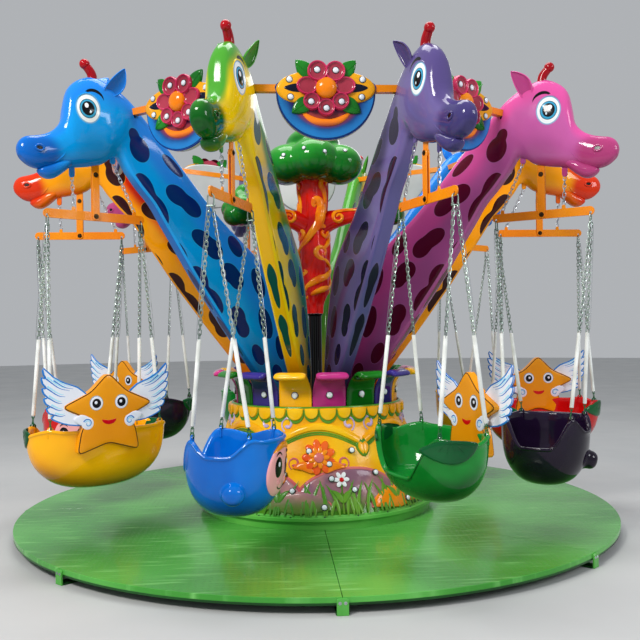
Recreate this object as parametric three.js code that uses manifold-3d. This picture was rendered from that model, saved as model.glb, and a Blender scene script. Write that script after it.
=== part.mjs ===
// Chair swing ride with ten giraffe arms, in millimetres, +Z up, origin on the floor under the axis.
// A green round platform carries a drum with a crown of petals. The rotor turns on the drum: ten
// giraffe necks, a ring of tie bars with flowers, and a tree. A chair hangs on chains from each head.
import * as THREE from 'three';
import { mergeVertices } from 'three/addons/utils/BufferGeometryUtils.js';
import Module from 'manifold-3d';

const wasm = await Module();
wasm.setup();

// Driving dimensions
const GAP = 0.3; // gap between neighbouring pieces that touch
const PLATFORM_R = 2160;
const PLATFORM_TOP = 90;
const PLATFORM_SKIRT = 48; // height of the plate and its rim
const SECTORS = 8;
const DRUM_TOP = 847;
const DRUM_TOP_R = 620;
const DRUM_LIP = 873; // top of the drum's raised edge, round the foot of the crown
const PETALS = 16;
const PETAL_W = 224;
const TURNTABLE_R = 545;
const TURNTABLE_TOP = 892;
const STATIONS = 10;
const STATION_STEP = 360 / STATIONS;
const CHAIR_R = 1750; // radius at which the chairs hang
const JAW_BOLT_Z = 2380;
const CROSSBAR_Z = 2121;
const NECK_T = 110;
const BOLT_R = 8;
const PLATE_T = 10; // hanger brackets and crossbars
const RING_R = 1520; // corners of the ring of tie bars
const RING_Z = 2800;
const TIE_BAR = 42;
const TRUNK_Z = 1520;
const CANOPY_Z = 2660;

// Colours, as in the photograph
const COLOUR = {
  platform: 0x1f8c33,
  drum: 0xf0a818,
  crown: 0xd2438c,
  turntable: 0x303236,
  pole: 0x0c0c0e,
  trunk: 0xd8281c,
  foliage: 0x1e8c2c,
  ring: 0xf59a14,
  hanger: 0xf99410,
  chain: 0xc9ccc9,
  blue: 0x0d73e6,
  green: 0xf2cf0a,
  purple: 0x66599e,
  magenta: 0xcc4599,
  orange: 0xf59a14,
};
const SEAT_COLOUR = {
  red: 0xd90d0d,
  yellow: 0xebab08,
  blue: 0x0054cc,
  green: 0x1a8c33,
  aubergine: 0x2e1440,
};

// Stations in the order of their angle, from behind on the left round to behind on the right
const BODY_COLOURS = ['purple', 'magenta', 'orange', 'blue', 'green'];
const CHAIRS = [
  ['single', 'green'],
  ['double', 'aubergine'],
  ['single', 'red'],
  ['double', 'yellow'],
  ['single', 'blue'],
  ['double', 'green'],
  ['single', 'aubergine'],
  ['double', 'red'],
  ['single', 'yellow'],
  ['double', 'blue'],
];

// The two sizes of tub: half length, half depth, underside, rim, corner lugs and front cut-out
const TUB = {
  double: { a: 440, b: 250, base: 455, lugX: 352, lugY: 140, mouth: 250, lip: 625 },
  single: { a: 275, b: 275, base: 395, lugX: 208, lugY: 160, mouth: 150, lip: 610 },
};
const TUB_RIM = 825;
const TUB_WALL = 22;
const BENCH = 120; // thickness of the moulded bench over the tub's underside
const LUG_TOP = 855;

// Crossbar and chain dimensions
const CROSSBAR_HALF = 330;
const CROSSBAR_H = 56;
const CHAIN_X = 305; // chain holes, from the middle of the crossbar
const CHAIN_PIVOT_Z = 2101; // underside of the shackle's top, on which the chair swings
const HOLE_R = 10; // six-sided holes with a flat at the bottom
const SHACKLE_PLAY = 0.8;
const SHACKLE_W = 44;
const SHACKLE_H = 60;
const WIRE = 9;
const SLEEVE_LENGTH = 500;

const deg = THREE.MathUtils.degToRad;

// Solids and booleans
function closed(geometry) {
  const bare = geometry.index ? geometry.toNonIndexed() : geometry.clone();
  bare.deleteAttribute('normal');
  bare.deleteAttribute('uv');
  const merged = mergeVertices(bare, 1e-3);
  const p = merged.attributes.position.array;
  const all = merged.index.array;
  const tri = [];
  let volume = 0;
  for (let i = 0; i < all.length; i += 3) {
    const [a, b, c] = [all[i], all[i + 1], all[i + 2]];
    if (a === b || b === c || c === a) continue;
    tri.push(a, b, c);
    const [A, B, C] = [a, b, c].map((k) => new THREE.Vector3(p[3 * k], p[3 * k + 1], p[3 * k + 2]));
    volume += A.dot(B.cross(C));
  }
  if (volume < 0) tri.reverse();
  return { positions: new Float32Array(p), triangles: new Uint32Array(tri) };
}

function solid(geometry) {
  const { positions, triangles } = closed(geometry);
  return new wasm.Manifold(
    new wasm.Mesh({ numProp: 3, vertProperties: positions, triVerts: triangles }),
  );
}

function join(solids) {
  return solids.reduce((whole, next) => whole.add(next));
}

function geometryOf(manifold) {
  const mesh = manifold.getMesh();
  const geometry = new THREE.BufferGeometry();
  geometry.setAttribute('position', new THREE.BufferAttribute(new Float32Array(mesh.vertProperties), 3));
  geometry.setIndex(new THREE.BufferAttribute(new Uint32Array(mesh.triVerts), 1));
  geometry.computeVertexNormals();
  return geometry;
}

function piece(name, manifold, colour, roughness = 0.3, metalness = 0) {
  const material = new THREE.MeshStandardMaterial({ color: colour, roughness, metalness });
  const mesh = new THREE.Mesh(geometryOf(manifold), material);
  mesh.name = name;
  return mesh;
}

// Basic shapes, all with +Z up
function box(x0, x1, y0, y1, z0, z1) {
  const geometry = new THREE.BoxGeometry(x1 - x0, y1 - y0, z1 - z0);
  geometry.translate((x0 + x1) / 2, (y0 + y1) / 2, (z0 + z1) / 2);
  return solid(geometry);
}

function ellipsoid(centre, radii, segments, rings) {
  const geometry = new THREE.SphereGeometry(1, segments, rings);
  geometry.rotateX(Math.PI / 2);
  geometry.scale(...radii);
  geometry.translate(...centre);
  return solid(geometry);
}

function lathe(points, segments, squash = 1) {
  const profile = points.map(([r, z]) => new THREE.Vector2(r, z));
  profile.push(profile[0].clone());
  const geometry = new THREE.LatheGeometry(profile, segments);
  geometry.rotateX(Math.PI / 2);
  geometry.scale(1, squash, 1);
  return solid(geometry);
}

// A straight round bar between two points
function bar(from, to, r0, r1, sides) {
  const a = new THREE.Vector3(...from);
  const b = new THREE.Vector3(...to);
  const geometry = new THREE.CylinderGeometry(r1, r0, a.distanceTo(b), sides);
  const up = new THREE.Vector3(0, 1, 0);
  const turn = new THREE.Quaternion().setFromUnitVectors(up, b.clone().sub(a).normalize());
  geometry.applyQuaternion(turn);
  const middle = a.add(b).multiplyScalar(0.5);
  geometry.translate(middle.x, middle.y, middle.z);
  return solid(geometry);
}

// An outline in the radial upright plane (x out, z up), extruded across that plane from y0 to y1
function plate(shape, y0, y1, bevel = 0, curveSegments = 2) {
  const geometry = new THREE.ExtrudeGeometry(shape, {
    depth: y1 - y0 - 2 * bevel,
    bevelEnabled: bevel > 0,
    bevelThickness: bevel,
    bevelSize: bevel,
    bevelOffset: -bevel,
    bevelSegments: 1,
    curveSegments,
  });
  geometry.rotateX(Math.PI / 2);
  geometry.translate(0, y1 - bevel, 0);
  return solid(geometry);
}

function polygon(points) {
  return new THREE.Shape(points.map(([x, z]) => new THREE.Vector2(x, z)));
}

// A bar outline with round ends
function link(x0, z0, x1, z1, r) {
  const along = Math.atan2(z1 - z0, x1 - x0);
  const shape = new THREE.Shape();
  shape.absarc(x1, z1, r, along - Math.PI / 2, along + Math.PI / 2, false);
  shape.absarc(x0, z0, r, along + Math.PI / 2, along + 1.5 * Math.PI, false);
  return shape;
}

// A six-sided hole across the radial plane, flat at its top and bottom
function drill(x, z, r) {
  return bar([0, -60, 0], [0, 60, 0], r, r, 6).rotate([0, 30, 0]).translate([x, 0, z]);
}

// Turns local axes (x out, y along the turning direction) to the angle of a station
function around(angle) {
  const group = new THREE.Group();
  group.rotation.z = deg(angle - 90);
  return group;
}

// Platform: round plate with a rim, standing on feet at the seams between its sectors
function platform() {
  const under = PLATFORM_TOP - PLATFORM_SKIRT;
  const parts = [
    lathe([[0, under], [PLATFORM_R, under], [PLATFORM_R, PLATFORM_TOP], [0, PLATFORM_TOP]], 64),
  ];
  for (let i = 0; i < SECTORS; i += 1) {
    const turn = (360 / SECTORS) * i;
    const bracket = box(PLATFORM_R - 40, PLATFORM_R + 10, -30, 30, 0, PLATFORM_TOP - 6);
    const inner = box(1140, 1260, -40, 40, 0, under + 5);
    parts.push(bracket.rotate([0, 0, turn]), inner.rotate([0, 0, turn]));
  }
  parts.push(box(-250, 250, -250, 250, 0, under + 5));
  return join(parts);
}

// Drum: flared housing of the drive, with a flange round its foot
function drum() {
  const foot = PLATFORM_TOP + GAP;
  return lathe([
    [0, foot], [845, foot], [845, 145], [872, 145], [872, 172], [838, 180],
    [758, 390], [715, 540], [672, 665], [644, 770], [640, 850], [636, DRUM_LIP], [624, DRUM_LIP],
    [DRUM_TOP_R, DRUM_TOP], [0, DRUM_TOP],
  ], 28);
}

// Crown: petals with rolled lips, standing in a ring on the drum
function crown() {
  const foot = DRUM_TOP + GAP;
  const petal = polygon([
    [598, foot], [604, 950], [632, 1020], [692, 1064], [752, 1044],
    [764, 1070], [738, 1091], [690, 1090], [616, 1040], [586, 950], [582, foot],
  ]);
  const parts = [lathe([[570, foot], [596, foot], [596, 872], [570, 872]], 16)];
  for (let i = 0; i < PETALS; i += 1) {
    const turn = (360 / PETALS) * (i + 0.25) - 90;
    parts.push(plate(petal, -PETAL_W / 2, PETAL_W / 2).rotate([0, 0, turn]));
  }
  return join(parts);
}

// Turntable on its bearing, in the crown
function turntable() {
  const foot = DRUM_TOP + GAP;
  const under = DRUM_TOP + 10;
  return lathe([
    [0, foot], [180, foot], [180, under], [TURNTABLE_R, under],
    [TURNTABLE_R, TURNTABLE_TOP], [0, TURNTABLE_TOP],
  ], 20);
}

function pole() {
  return bar([0, 0, TURNTABLE_TOP + GAP], [0, 0, TRUNK_Z - GAP], 50, 50, 16);
}

// Tree: trunk with two branches, two balls of leaves and a crown of leaves
const BRANCH_END = [500, 0, 2290];
function branch(side, extra = 0) {
  const [x, y, z] = BRANCH_END;
  return bar([side * 60, 0, 2190], [side * (x + extra), y, z + extra], 52 + extra, 38 + extra, 8);
}

function trunkPost(extra = 0) {
  return lathe([
    [0, TRUNK_Z], [62 + extra, TRUNK_Z], [70 + extra, 1590], [118 + extra, 1700],
    [124 + extra, 2000], [108 + extra, 2300], [108 + extra, 2560 + extra], [0, 2560 + extra],
  ], 12);
}

function trunk() {
  return join([trunkPost(), branch(-1), branch(1)]);
}

function leafBall(side) {
  const ball = ellipsoid([side * 560, 0, 2300], [150, 150, 135], 8, 6);
  return ball.subtract(branch(side, 2 * GAP));
}

function canopy() {
  const lumps = [
    ellipsoid([-190, 0, CANOPY_Z - 20], [188, 200, 140], 8, 6),
    ellipsoid([190, 0, CANOPY_Z - 10], [188, 200, 150], 8, 6),
    ellipsoid([0, -150, CANOPY_Z], [210, 190, 150], 8, 6),
    ellipsoid([0, 150, CANOPY_Z - 10], [210, 190, 145], 8, 6),
    ellipsoid([0, 0, CANOPY_Z + 130], [220, 220, 140], 8, 6),
  ];
  return join(lumps).subtract(trunkPost(2 * GAP));
}

// Ring of tie bars between the necks, with a flower in the middle of each bar
function tieBars(extra = 0) {
  const half = TIE_BAR / 2 + extra;
  const flat = RING_R * Math.cos(deg(STATION_STEP / 2));
  const long = RING_R * Math.sin(deg(STATION_STEP / 2)) + 6;
  const bars = [];
  for (let i = 0; i < STATIONS; i += 1) {
    const one = box(flat - half, flat + half, -long, long, RING_Z - half, RING_Z + half);
    bars.push(one.rotate([0, 0, STATION_STEP * i - 90]));
  }
  return join(bars);
}

// An outline in the upright plane that faces out (y across, z up), with its depth outward
function facing(shape, depth) {
  const geometry = new THREE.ExtrudeGeometry(shape, { depth, bevelEnabled: false, curveSegments: 3 });
  geometry.rotateX(Math.PI / 2);
  geometry.rotateZ(Math.PI / 2);
  return solid(geometry);
}

function flower() {
  const back = RING_R * Math.cos(deg(STATION_STEP / 2)) - 20;
  const bowl = new THREE.Shape();
  bowl.absellipse(0, RING_Z - 25, 289, 276, Math.PI, 2 * Math.PI, false);
  bowl.absellipse(0, RING_Z, 297, 86, 0, Math.PI, false);
  const blossom = new THREE.Shape();
  const lobes = [[0, 62, 48], [51, 76, 40], [103, 60, 86], [154, 80, 75], [206, 80, 75], [257, 60, 86], [309, 76, 40]];
  lobes.forEach(([turn, size, grow], i) => {
    const radius = 70 + grow;
    [-18, 0, 18].forEach((offset, k) => {
      const r = k === 1 ? radius + size * 0.25 : radius;
      const a = deg(turn + offset - 90);
      const point = [r * Math.cos(a), RING_Z - 8 + r * Math.sin(a)];
      if (i === 0 && k === 0) blossom.moveTo(...point);
      else blossom.lineTo(...point);
    });
  });
  const parts = [
    facing(bowl, 46),
    facing(blossom, 44).translate([44, 0, 0]),
    ellipsoid([86, 0, RING_Z - 8], [32, 58, 58], 6, 4),
  ];
  return join(parts).translate([back, 0, 0]);
}

function flowerRing() {
  const parts = [tieBars()];
  for (let i = 0; i < STATIONS; i += 1) {
    parts.push(flower().rotate([0, 0, STATION_STEP * i - 90]));
  }
  return join(parts);
}

// Giraffe: neck, head with ears and horn, chin tab and the bracket that carries the chair
function giraffe() {
  const foot = TURNTABLE_TOP + GAP;
  const profile = polygon([
    [430, foot], [478, 990], [560, 1090], [815, 1421], [1052, 1745], [1371, 2229], [1460, 2324],
    [1600, 2500], [1650, 2490], [1705, 2450], [1895, 2409], [1984, 2354], [2044, 2322], [2088, 2334], [2114, 2366],
    [2190, 2406], [2226, 2472], [2180, 2560], [2068, 2592], [2010, 2628], [1966, 2690], [1949, 2790],
    [1915, 2900], [1850, 2960], [1778, 2983], [1670, 2964], [1575, 2915], [1470, 2832],
    [1082, 2425], [816, 2148], [490, 1872], [330, 1450], [262, 1050], [258, foot],
  ]);
  const body = plate(profile, -NECK_T / 2, NECK_T / 2, 14);
  const skull = ellipsoid([1765, 0, 2690], [190, 90, 264], 10, 7);
  const horn = [
    bar([1748, 0, 2950], [1797, 0, 3046], 27, 22, 5),
    ellipsoid([1800, 0, 3050], [32, 32, 32], 6, 4),
  ];
  const ears = [-1, 1].map((side) => bar([1688, side * 56, 2885], [1602, side * 106, 3056], 44, 4, 5));
  const chinTab = box(1883, 1917, -6, 6, 2345, 2420);
  const bracket = plate(link(CHAIR_R, JAW_BOLT_Z, CHAIR_R, JAW_BOLT_Z + 60, 24), -PLATE_T / 2, PLATE_T / 2);
  const whole = join([body, skull, ...horn, ...ears, chinTab, bracket]);
  return whole.subtract(drill(CHAIR_R, JAW_BOLT_Z, BOLT_R + 1.5)).subtract(tieBars(2 * GAP));
}

// Hanger: two flats on the jaw bolt, and a crossbar on a spacer between their feet
function hanger() {
  const inside = PLATE_T / 2 + 0.7;
  const outside = inside + 6;
  const strap = link(0, CROSSBAR_Z, 0, JAW_BOLT_Z, 24);
  const reach = CROSSBAR_HALF - CROSSBAR_H / 2;
  const holeZ = CHAIN_PIVOT_Z + HOLE_R * Math.cos(Math.PI / 6) - SHACKLE_PLAY;
  const crossbar = plate(link(-reach, CROSSBAR_Z, reach, CROSSBAR_Z, CROSSBAR_H / 2), -PLATE_T / 2, PLATE_T / 2);
  const shank = bar([0, -outside + 3, 0], [0, outside - 3, 0], BOLT_R, BOLT_R, 6).rotate([0, 30, 0]);
  const parts = [
    plate(strap, inside, outside),
    plate(strap, -outside, -inside),
    crossbar.subtract(drill(-CHAIN_X, holeZ, HOLE_R)).subtract(drill(CHAIN_X, holeZ, HOLE_R)),
    box(-15, 15, -outside + 3, outside - 3, CROSSBAR_Z - 15, CROSSBAR_Z + 15),
    shank.translate([0, 0, JAW_BOLT_Z]),
  ];
  return join(parts).translate([CHAIR_R, 0, 0]);
}

// Chain pair: a shackle through the crossbar's hole, and two chains with sleeves down to the lugs
function chainPair(side, tub) {
  const half = SHACKLE_W / 2;
  const drop = CHAIN_PIVOT_Z - LUG_TOP - GAP;
  const spread = (z) => 10 + ((tub.lugY - 10) * (-SHACKLE_H - z)) / (drop - SHACKLE_H);
  const leg = [
    [half, WIRE], [half, -SHACKLE_H], [spread(-drop) + 5, -drop],
    [spread(-drop) - 5, -drop], [1, -SHACKLE_H - WIRE],
  ];
  const mirrored = leg.slice().reverse().map(([y, z]) => [-y, z]);
  const outline = polygon([...leg, ...mirrored]);
  outline.holes.push(polygon([
    [WIRE - half, WIRE - SHACKLE_H], [half - WIRE, WIRE - SHACKLE_H],
    [half - WIRE, 0], [WIRE - half, 0],
  ]));
  const parts = [facing(outline, WIRE).translate([-WIRE / 2, 0, 0])];
  for (const y of [-1, 1]) {
    const top = [0, y * spread(SLEEVE_LENGTH - drop), SLEEVE_LENGTH - drop];
    parts.push(bar([0, y * spread(-drop), 2 - drop], top, 12, 12, 5));
  }
  const lean = (side * (tub.lugX - CHAIN_X)) / -drop;
  const shear = [1, 0, 0, 0, 0, 1, 0, 0, lean, 0, 1, 0, CHAIR_R + side * CHAIN_X, 0, CHAIN_PIVOT_Z, 1];
  return join(parts).transform(shear);
}

// Star board with wings, one sheet fixed to the back of a double tub
function starBoard(tub) {
  const half = [
    [0, 1140], [72, 1058], [96, 1010], [150, 1022], [205, 1090], [300, 1150], [388, 1205],
    [392, 1150], [376, 1050], [340, 950], [250, 880], [170, 868], [150, 820], [182, 690], [0, 738],
  ];
  const left = half.slice(1, -1).reverse().map(([x, z]) => [-x, z]);
  return plate(polygon([...half, ...left]), tub.b - 6, tub.b + 8);
}

// Tub: a moulded bucket with a low front, high corners with lugs, and a bench inside
function seat(kind) {
  const tub = TUB[kind];
  const { a, b, base } = tub;
  const bench = base + BENCH;
  const bowl = lathe([
    [0, base], [0.5 * a, base + 8], [0.86 * a, base + 90], [0.98 * a, base + 210],
    [a, TUB_RIM], [a - TUB_WALL - 8, TUB_RIM], [0.9 * a, base + 220], [0.74 * a, bench], [0, bench],
  ], 12, b / a);
  const mouth = new THREE.Shape();
  mouth.moveTo(-tub.mouth, TUB_RIM + 40);
  mouth.lineTo(-tub.mouth + 10, TUB_RIM - 90);
  mouth.quadraticCurveTo(-tub.mouth + 40, tub.lip, 0, tub.lip);
  mouth.quadraticCurveTo(tub.mouth - 40, tub.lip, tub.mouth - 10, TUB_RIM - 90);
  mouth.lineTo(tub.mouth, TUB_RIM + 40);
  const dip = bar([-600, 0, TUB_RIM + 80], [600, 0, TUB_RIM + 80], 110, 110, 8);
  const parts = [bowl.subtract(plate(mouth, -400, -0.25 * b)).subtract(dip)];
  for (const x of [-tub.lugX, tub.lugX]) {
    for (const y of [-tub.lugY, tub.lugY]) {
      parts.push(box(x - 20, x + 20, y - 5, y + 5, TUB_RIM - 75, LUG_TOP));
    }
  }
  if (kind === 'double') parts.push(starBoard(tub));
  else parts.push(ellipsoid([a - 8, 0, base + 170], [62, 56, 56], 8, 6));
  return join(parts).translate([CHAIR_R, 0, 0]);
}

// Assembly
const ride = new THREE.Group();
ride.add(piece('platform', platform(), COLOUR.platform, 0.25));
ride.add(piece('drum', drum(), COLOUR.drum));
ride.add(piece('crown', crown(), COLOUR.crown));
ride.add(piece('turntable', turntable(), COLOUR.turntable, 0.5, 0.6));
ride.add(piece('pole', pole(), COLOUR.pole, 0.15));
ride.add(piece('trunk', trunk(), COLOUR.trunk));
ride.add(piece('leaves_left', leafBall(-1), COLOUR.foliage));
ride.add(piece('leaves_right', leafBall(1), COLOUR.foliage));
ride.add(piece('leaves_top', canopy(), COLOUR.foliage));
ride.add(piece('flower_ring', flowerRing(), COLOUR.ring));

for (let i = 0; i < STATIONS; i += 1) {
  const [kind, seatColour] = CHAIRS[i];
  const number = String(i + 1).padStart(2, '0');
  const station = around(STATION_STEP * (i + 0.5) - 180);
  station.add(piece(`giraffe_${number}`, giraffe(), COLOUR[BODY_COLOURS[i % BODY_COLOURS.length]]));
  station.add(piece(`hanger_${number}`, hanger(), COLOUR.hanger, 0.35));
  station.add(piece(`chain_inner_${number}`, chainPair(-1, TUB[kind]), COLOUR.chain, 0.4, 0.7));
  station.add(piece(`chain_outer_${number}`, chainPair(1, TUB[kind]), COLOUR.chain, 0.4, 0.7));
  station.add(piece(`seat_${number}`, seat(kind), SEAT_COLOUR[seatColour], 0.2));
  ride.add(station);
}

export default ride;
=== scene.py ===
"""Looks of the chair swing ride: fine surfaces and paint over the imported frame, in metres."""

import math

import bmesh
import bpy
import numpy as np
from mathutils import Matrix, Vector
from mathutils.bvhtree import BVHTree


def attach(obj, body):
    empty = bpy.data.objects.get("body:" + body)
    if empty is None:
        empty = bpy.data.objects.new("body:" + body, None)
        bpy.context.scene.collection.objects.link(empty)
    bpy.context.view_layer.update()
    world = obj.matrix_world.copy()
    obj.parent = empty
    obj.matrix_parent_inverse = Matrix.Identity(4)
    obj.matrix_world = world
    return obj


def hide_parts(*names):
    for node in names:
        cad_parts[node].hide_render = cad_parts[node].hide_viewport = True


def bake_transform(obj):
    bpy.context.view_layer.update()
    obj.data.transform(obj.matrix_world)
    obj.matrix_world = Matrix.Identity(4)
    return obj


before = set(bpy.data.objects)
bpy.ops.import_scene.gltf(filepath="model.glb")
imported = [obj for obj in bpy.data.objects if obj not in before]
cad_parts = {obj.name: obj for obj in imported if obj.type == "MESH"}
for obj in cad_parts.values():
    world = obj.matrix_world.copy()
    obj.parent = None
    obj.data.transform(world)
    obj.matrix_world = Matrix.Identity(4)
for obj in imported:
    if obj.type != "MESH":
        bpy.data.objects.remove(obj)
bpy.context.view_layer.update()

# Sizes shared with the frame
STATIONS = 10
STEP = math.tau / STATIONS
CHAIR_R = 1.75
PLATFORM_R = 2.16
PLATFORM_TOP = 0.09
PETALS = 16
RING_R = 1.52
RING_Z = 2.8
JAW_BOLT_Z = 2.38
CROSSBAR_Z = 2.121
CROSSBAR_HALF = 0.33
CHAIN_X = 0.305
CHAIN_PIVOT_Z = 2.101
SLEEVE = 0.5
LUG_TOP = 0.855
TUB_RIM = 0.825
CANOPY_Z = 2.66
TUB = {
    "double": {"a": 0.44, "b": 0.25, "base": 0.455, "lug": (0.352, 0.14), "mouth": 0.360, "lip": 0.610,
               "shift": 0.0},
    "single": {"a": 0.275, "b": 0.275, "base": 0.395, "lug": (0.208, 0.16), "mouth": 0.225, "lip": 0.655,
               "shift": 0.012},
}
CHAIRS = [
    ("single", "green"), ("double", "aubergine"), ("single", "red"), ("double", "yellow"),
    ("single", "blue"), ("double", "green"), ("single", "aubergine"), ("double", "red"),
    ("single", "yellow"), ("double", "blue"),
]
BODIES = ["purple", "magenta", "orange", "blue", "green"]

# Planes for flat outlines: (u, v) across the plane, w through it
RADIAL = Matrix(((1, 0, 0, 0), (0, 0, 1, 0), (0, 1, 0, 0), (0, 0, 0, 1)))
FACING = Matrix(((0, 0, 1, 0), (1, 0, 0, 0), (0, 1, 0, 0), (0, 0, 0, 1)))
FLAT = Matrix.Identity(4)


def station_angle(i):
    return STEP * (i + 0.5) - math.pi


def numbered(name, i):
    """A station's name for a piece."""
    return f"{name}_{i + 1:02d}"


def station_matrix(i):
    """Turns (out, along, up) to the angle of a station."""
    return turned(station_angle(i) - math.pi / 2)


def turned(angle):
    return Matrix.Rotation(angle, 4, "Z")


def tipped(angle):
    return Matrix.Rotation(angle, 4, "X")


def moved(x, y, z):
    return Matrix.Translation((x, y, z))


# Curves, outlines and planes

def smooth_rows(rows, steps):
    """Rows along a smooth curve through the given rows."""
    rows = np.array(rows, float)
    ends = np.vstack([2 * rows[0] - rows[1], rows, 2 * rows[-1] - rows[-2]])
    out = []
    for i in range(len(rows) - 1):
        a, b, c, d = ends[i:i + 4]
        for t in np.arange(steps) / steps:
            out.append(0.5 * (2 * b + (c - a) * t + (2 * a - 5 * b + 4 * c - d) * t ** 2
                              + (3 * b - a - 3 * c + d) * t ** 3))
    out.append(rows[-1])
    return np.array(out)


def smooth_loop(points, steps):
    """A closed smooth outline through the given points."""
    rows = [points[-1], *points, points[0], points[1]]
    return smooth_rows(rows, steps)[steps:-steps - 1]


def circle(cx, cy, rx, ry=None, count=24, start=0.0, end=math.tau):
    ry = rx if ry is None else ry
    full = abs(end - start - math.tau) < 1e-6
    turns = np.linspace(start, end, count + 1)[:-1] if full else np.linspace(start, end, count)
    return [(cx + rx * math.cos(t), cy + ry * math.sin(t)) for t in turns]


def steps_round(count):
    """Equal steps of angle round a circle."""
    return np.arange(count) * math.tau / count


def level_ring(r, z, count):
    """Points round the upright axis."""
    return [(r * math.cos(t), r * math.sin(t), z) for t in steps_round(count)]


def mirrored(outline, side):
    return [(side * u, v) for u, v in outline]


def rectangle(u0, v0, u1, v1):
    return [(u0, v0), (u1, v0), (u1, v1), (u0, v1)]


def linked(name, data):
    """A new object of the scene."""
    made = bpy.data.objects.new(name, data)
    bpy.context.scene.collection.objects.link(made)
    return made


def shrunk(outline, share):
    """The outline drawn in towards its middle."""
    points = np.array(outline, float)
    return points.mean(0) + (points - points.mean(0)) * share


def above(place, lift):
    """The same places, further out of the surface."""
    return lambda u, v, h: place(u, v, h + lift)


def standing(point, normal):
    """The plane on a surface at a point, with w along the surface's normal."""
    return moved(*point) @ normal.to_track_quat("Z", "Y").to_matrix().to_4x4()


def slot_outline(x0, y0, x1, y1, r, count=7):
    """A bar outline with round ends."""
    along = math.atan2(y1 - y0, x1 - x0)
    head = circle(x1, y1, r, r, count, along - math.pi / 2, along + math.pi / 2)
    tail = circle(x0, y0, r, r, count, along + math.pi / 2, along + 1.5 * math.pi)
    return head + tail


def inset(outline, distance):
    """The outline moved inwards, corner by corner."""
    pts = np.array(outline, float)
    area = 0.5 * np.sum(pts[:, 0] * np.roll(pts[:, 1], -1) - np.roll(pts[:, 0], -1) * pts[:, 1])
    side = 1 if area > 0 else -1
    before = pts - np.roll(pts, 1, 0)
    after = np.roll(pts, -1, 0) - pts
    before /= np.maximum(np.linalg.norm(before, axis=1, keepdims=True), 1e-9)
    after /= np.maximum(np.linalg.norm(after, axis=1, keepdims=True), 1e-9)
    normal = np.stack([-(before + after)[:, 1], (before + after)[:, 0]], 1) * side
    normal /= np.maximum(np.linalg.norm(normal, axis=1, keepdims=True), 1e-9)
    return pts + normal * distance


def eased(t):
    t = min(max(t, 0.0), 1.0)
    return t * t * (3 - 2 * t)


def petal_outline(turn, distance, radii):
    """An oval with its middle at a distance from (0, 0)."""
    c, s = math.cos(turn), math.sin(turn)
    return [(c * (distance + x) - s * y, s * (distance + x) + c * y) for x, y in circle(0, 0, *radii, 18)]


def petal_ring(count, distance, radii, start=0.0):
    """Outlines of a flower's petals about (0, 0)."""
    return [petal_outline(turn, distance, radii) for turn in start + steps_round(count)]


def leaf_outline(x, y, length, width, turn, bend=0.0, count=11):
    """A pointed leaf from (x, y), with its tip at the given angle in degrees."""
    t = np.linspace(0, 1, count)
    half = width * np.sin(math.pi * t ** 0.8) ** 0.8
    c, s = math.cos(math.radians(turn)), math.sin(math.radians(turn))
    upper = [(length * a, h + bend * math.sin(math.pi * a)) for a, h in zip(t, half)]
    lower = [(length * a, -h + bend * math.sin(math.pi * a)) for a, h in zip(t, half)][-2:0:-1]
    return [(x + c * u - s * v, y + s * u + c * v) for u, v in upper + lower]


def shifted(outline, x, y):
    return [(x + u, y + v) for u, v in outline]


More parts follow.
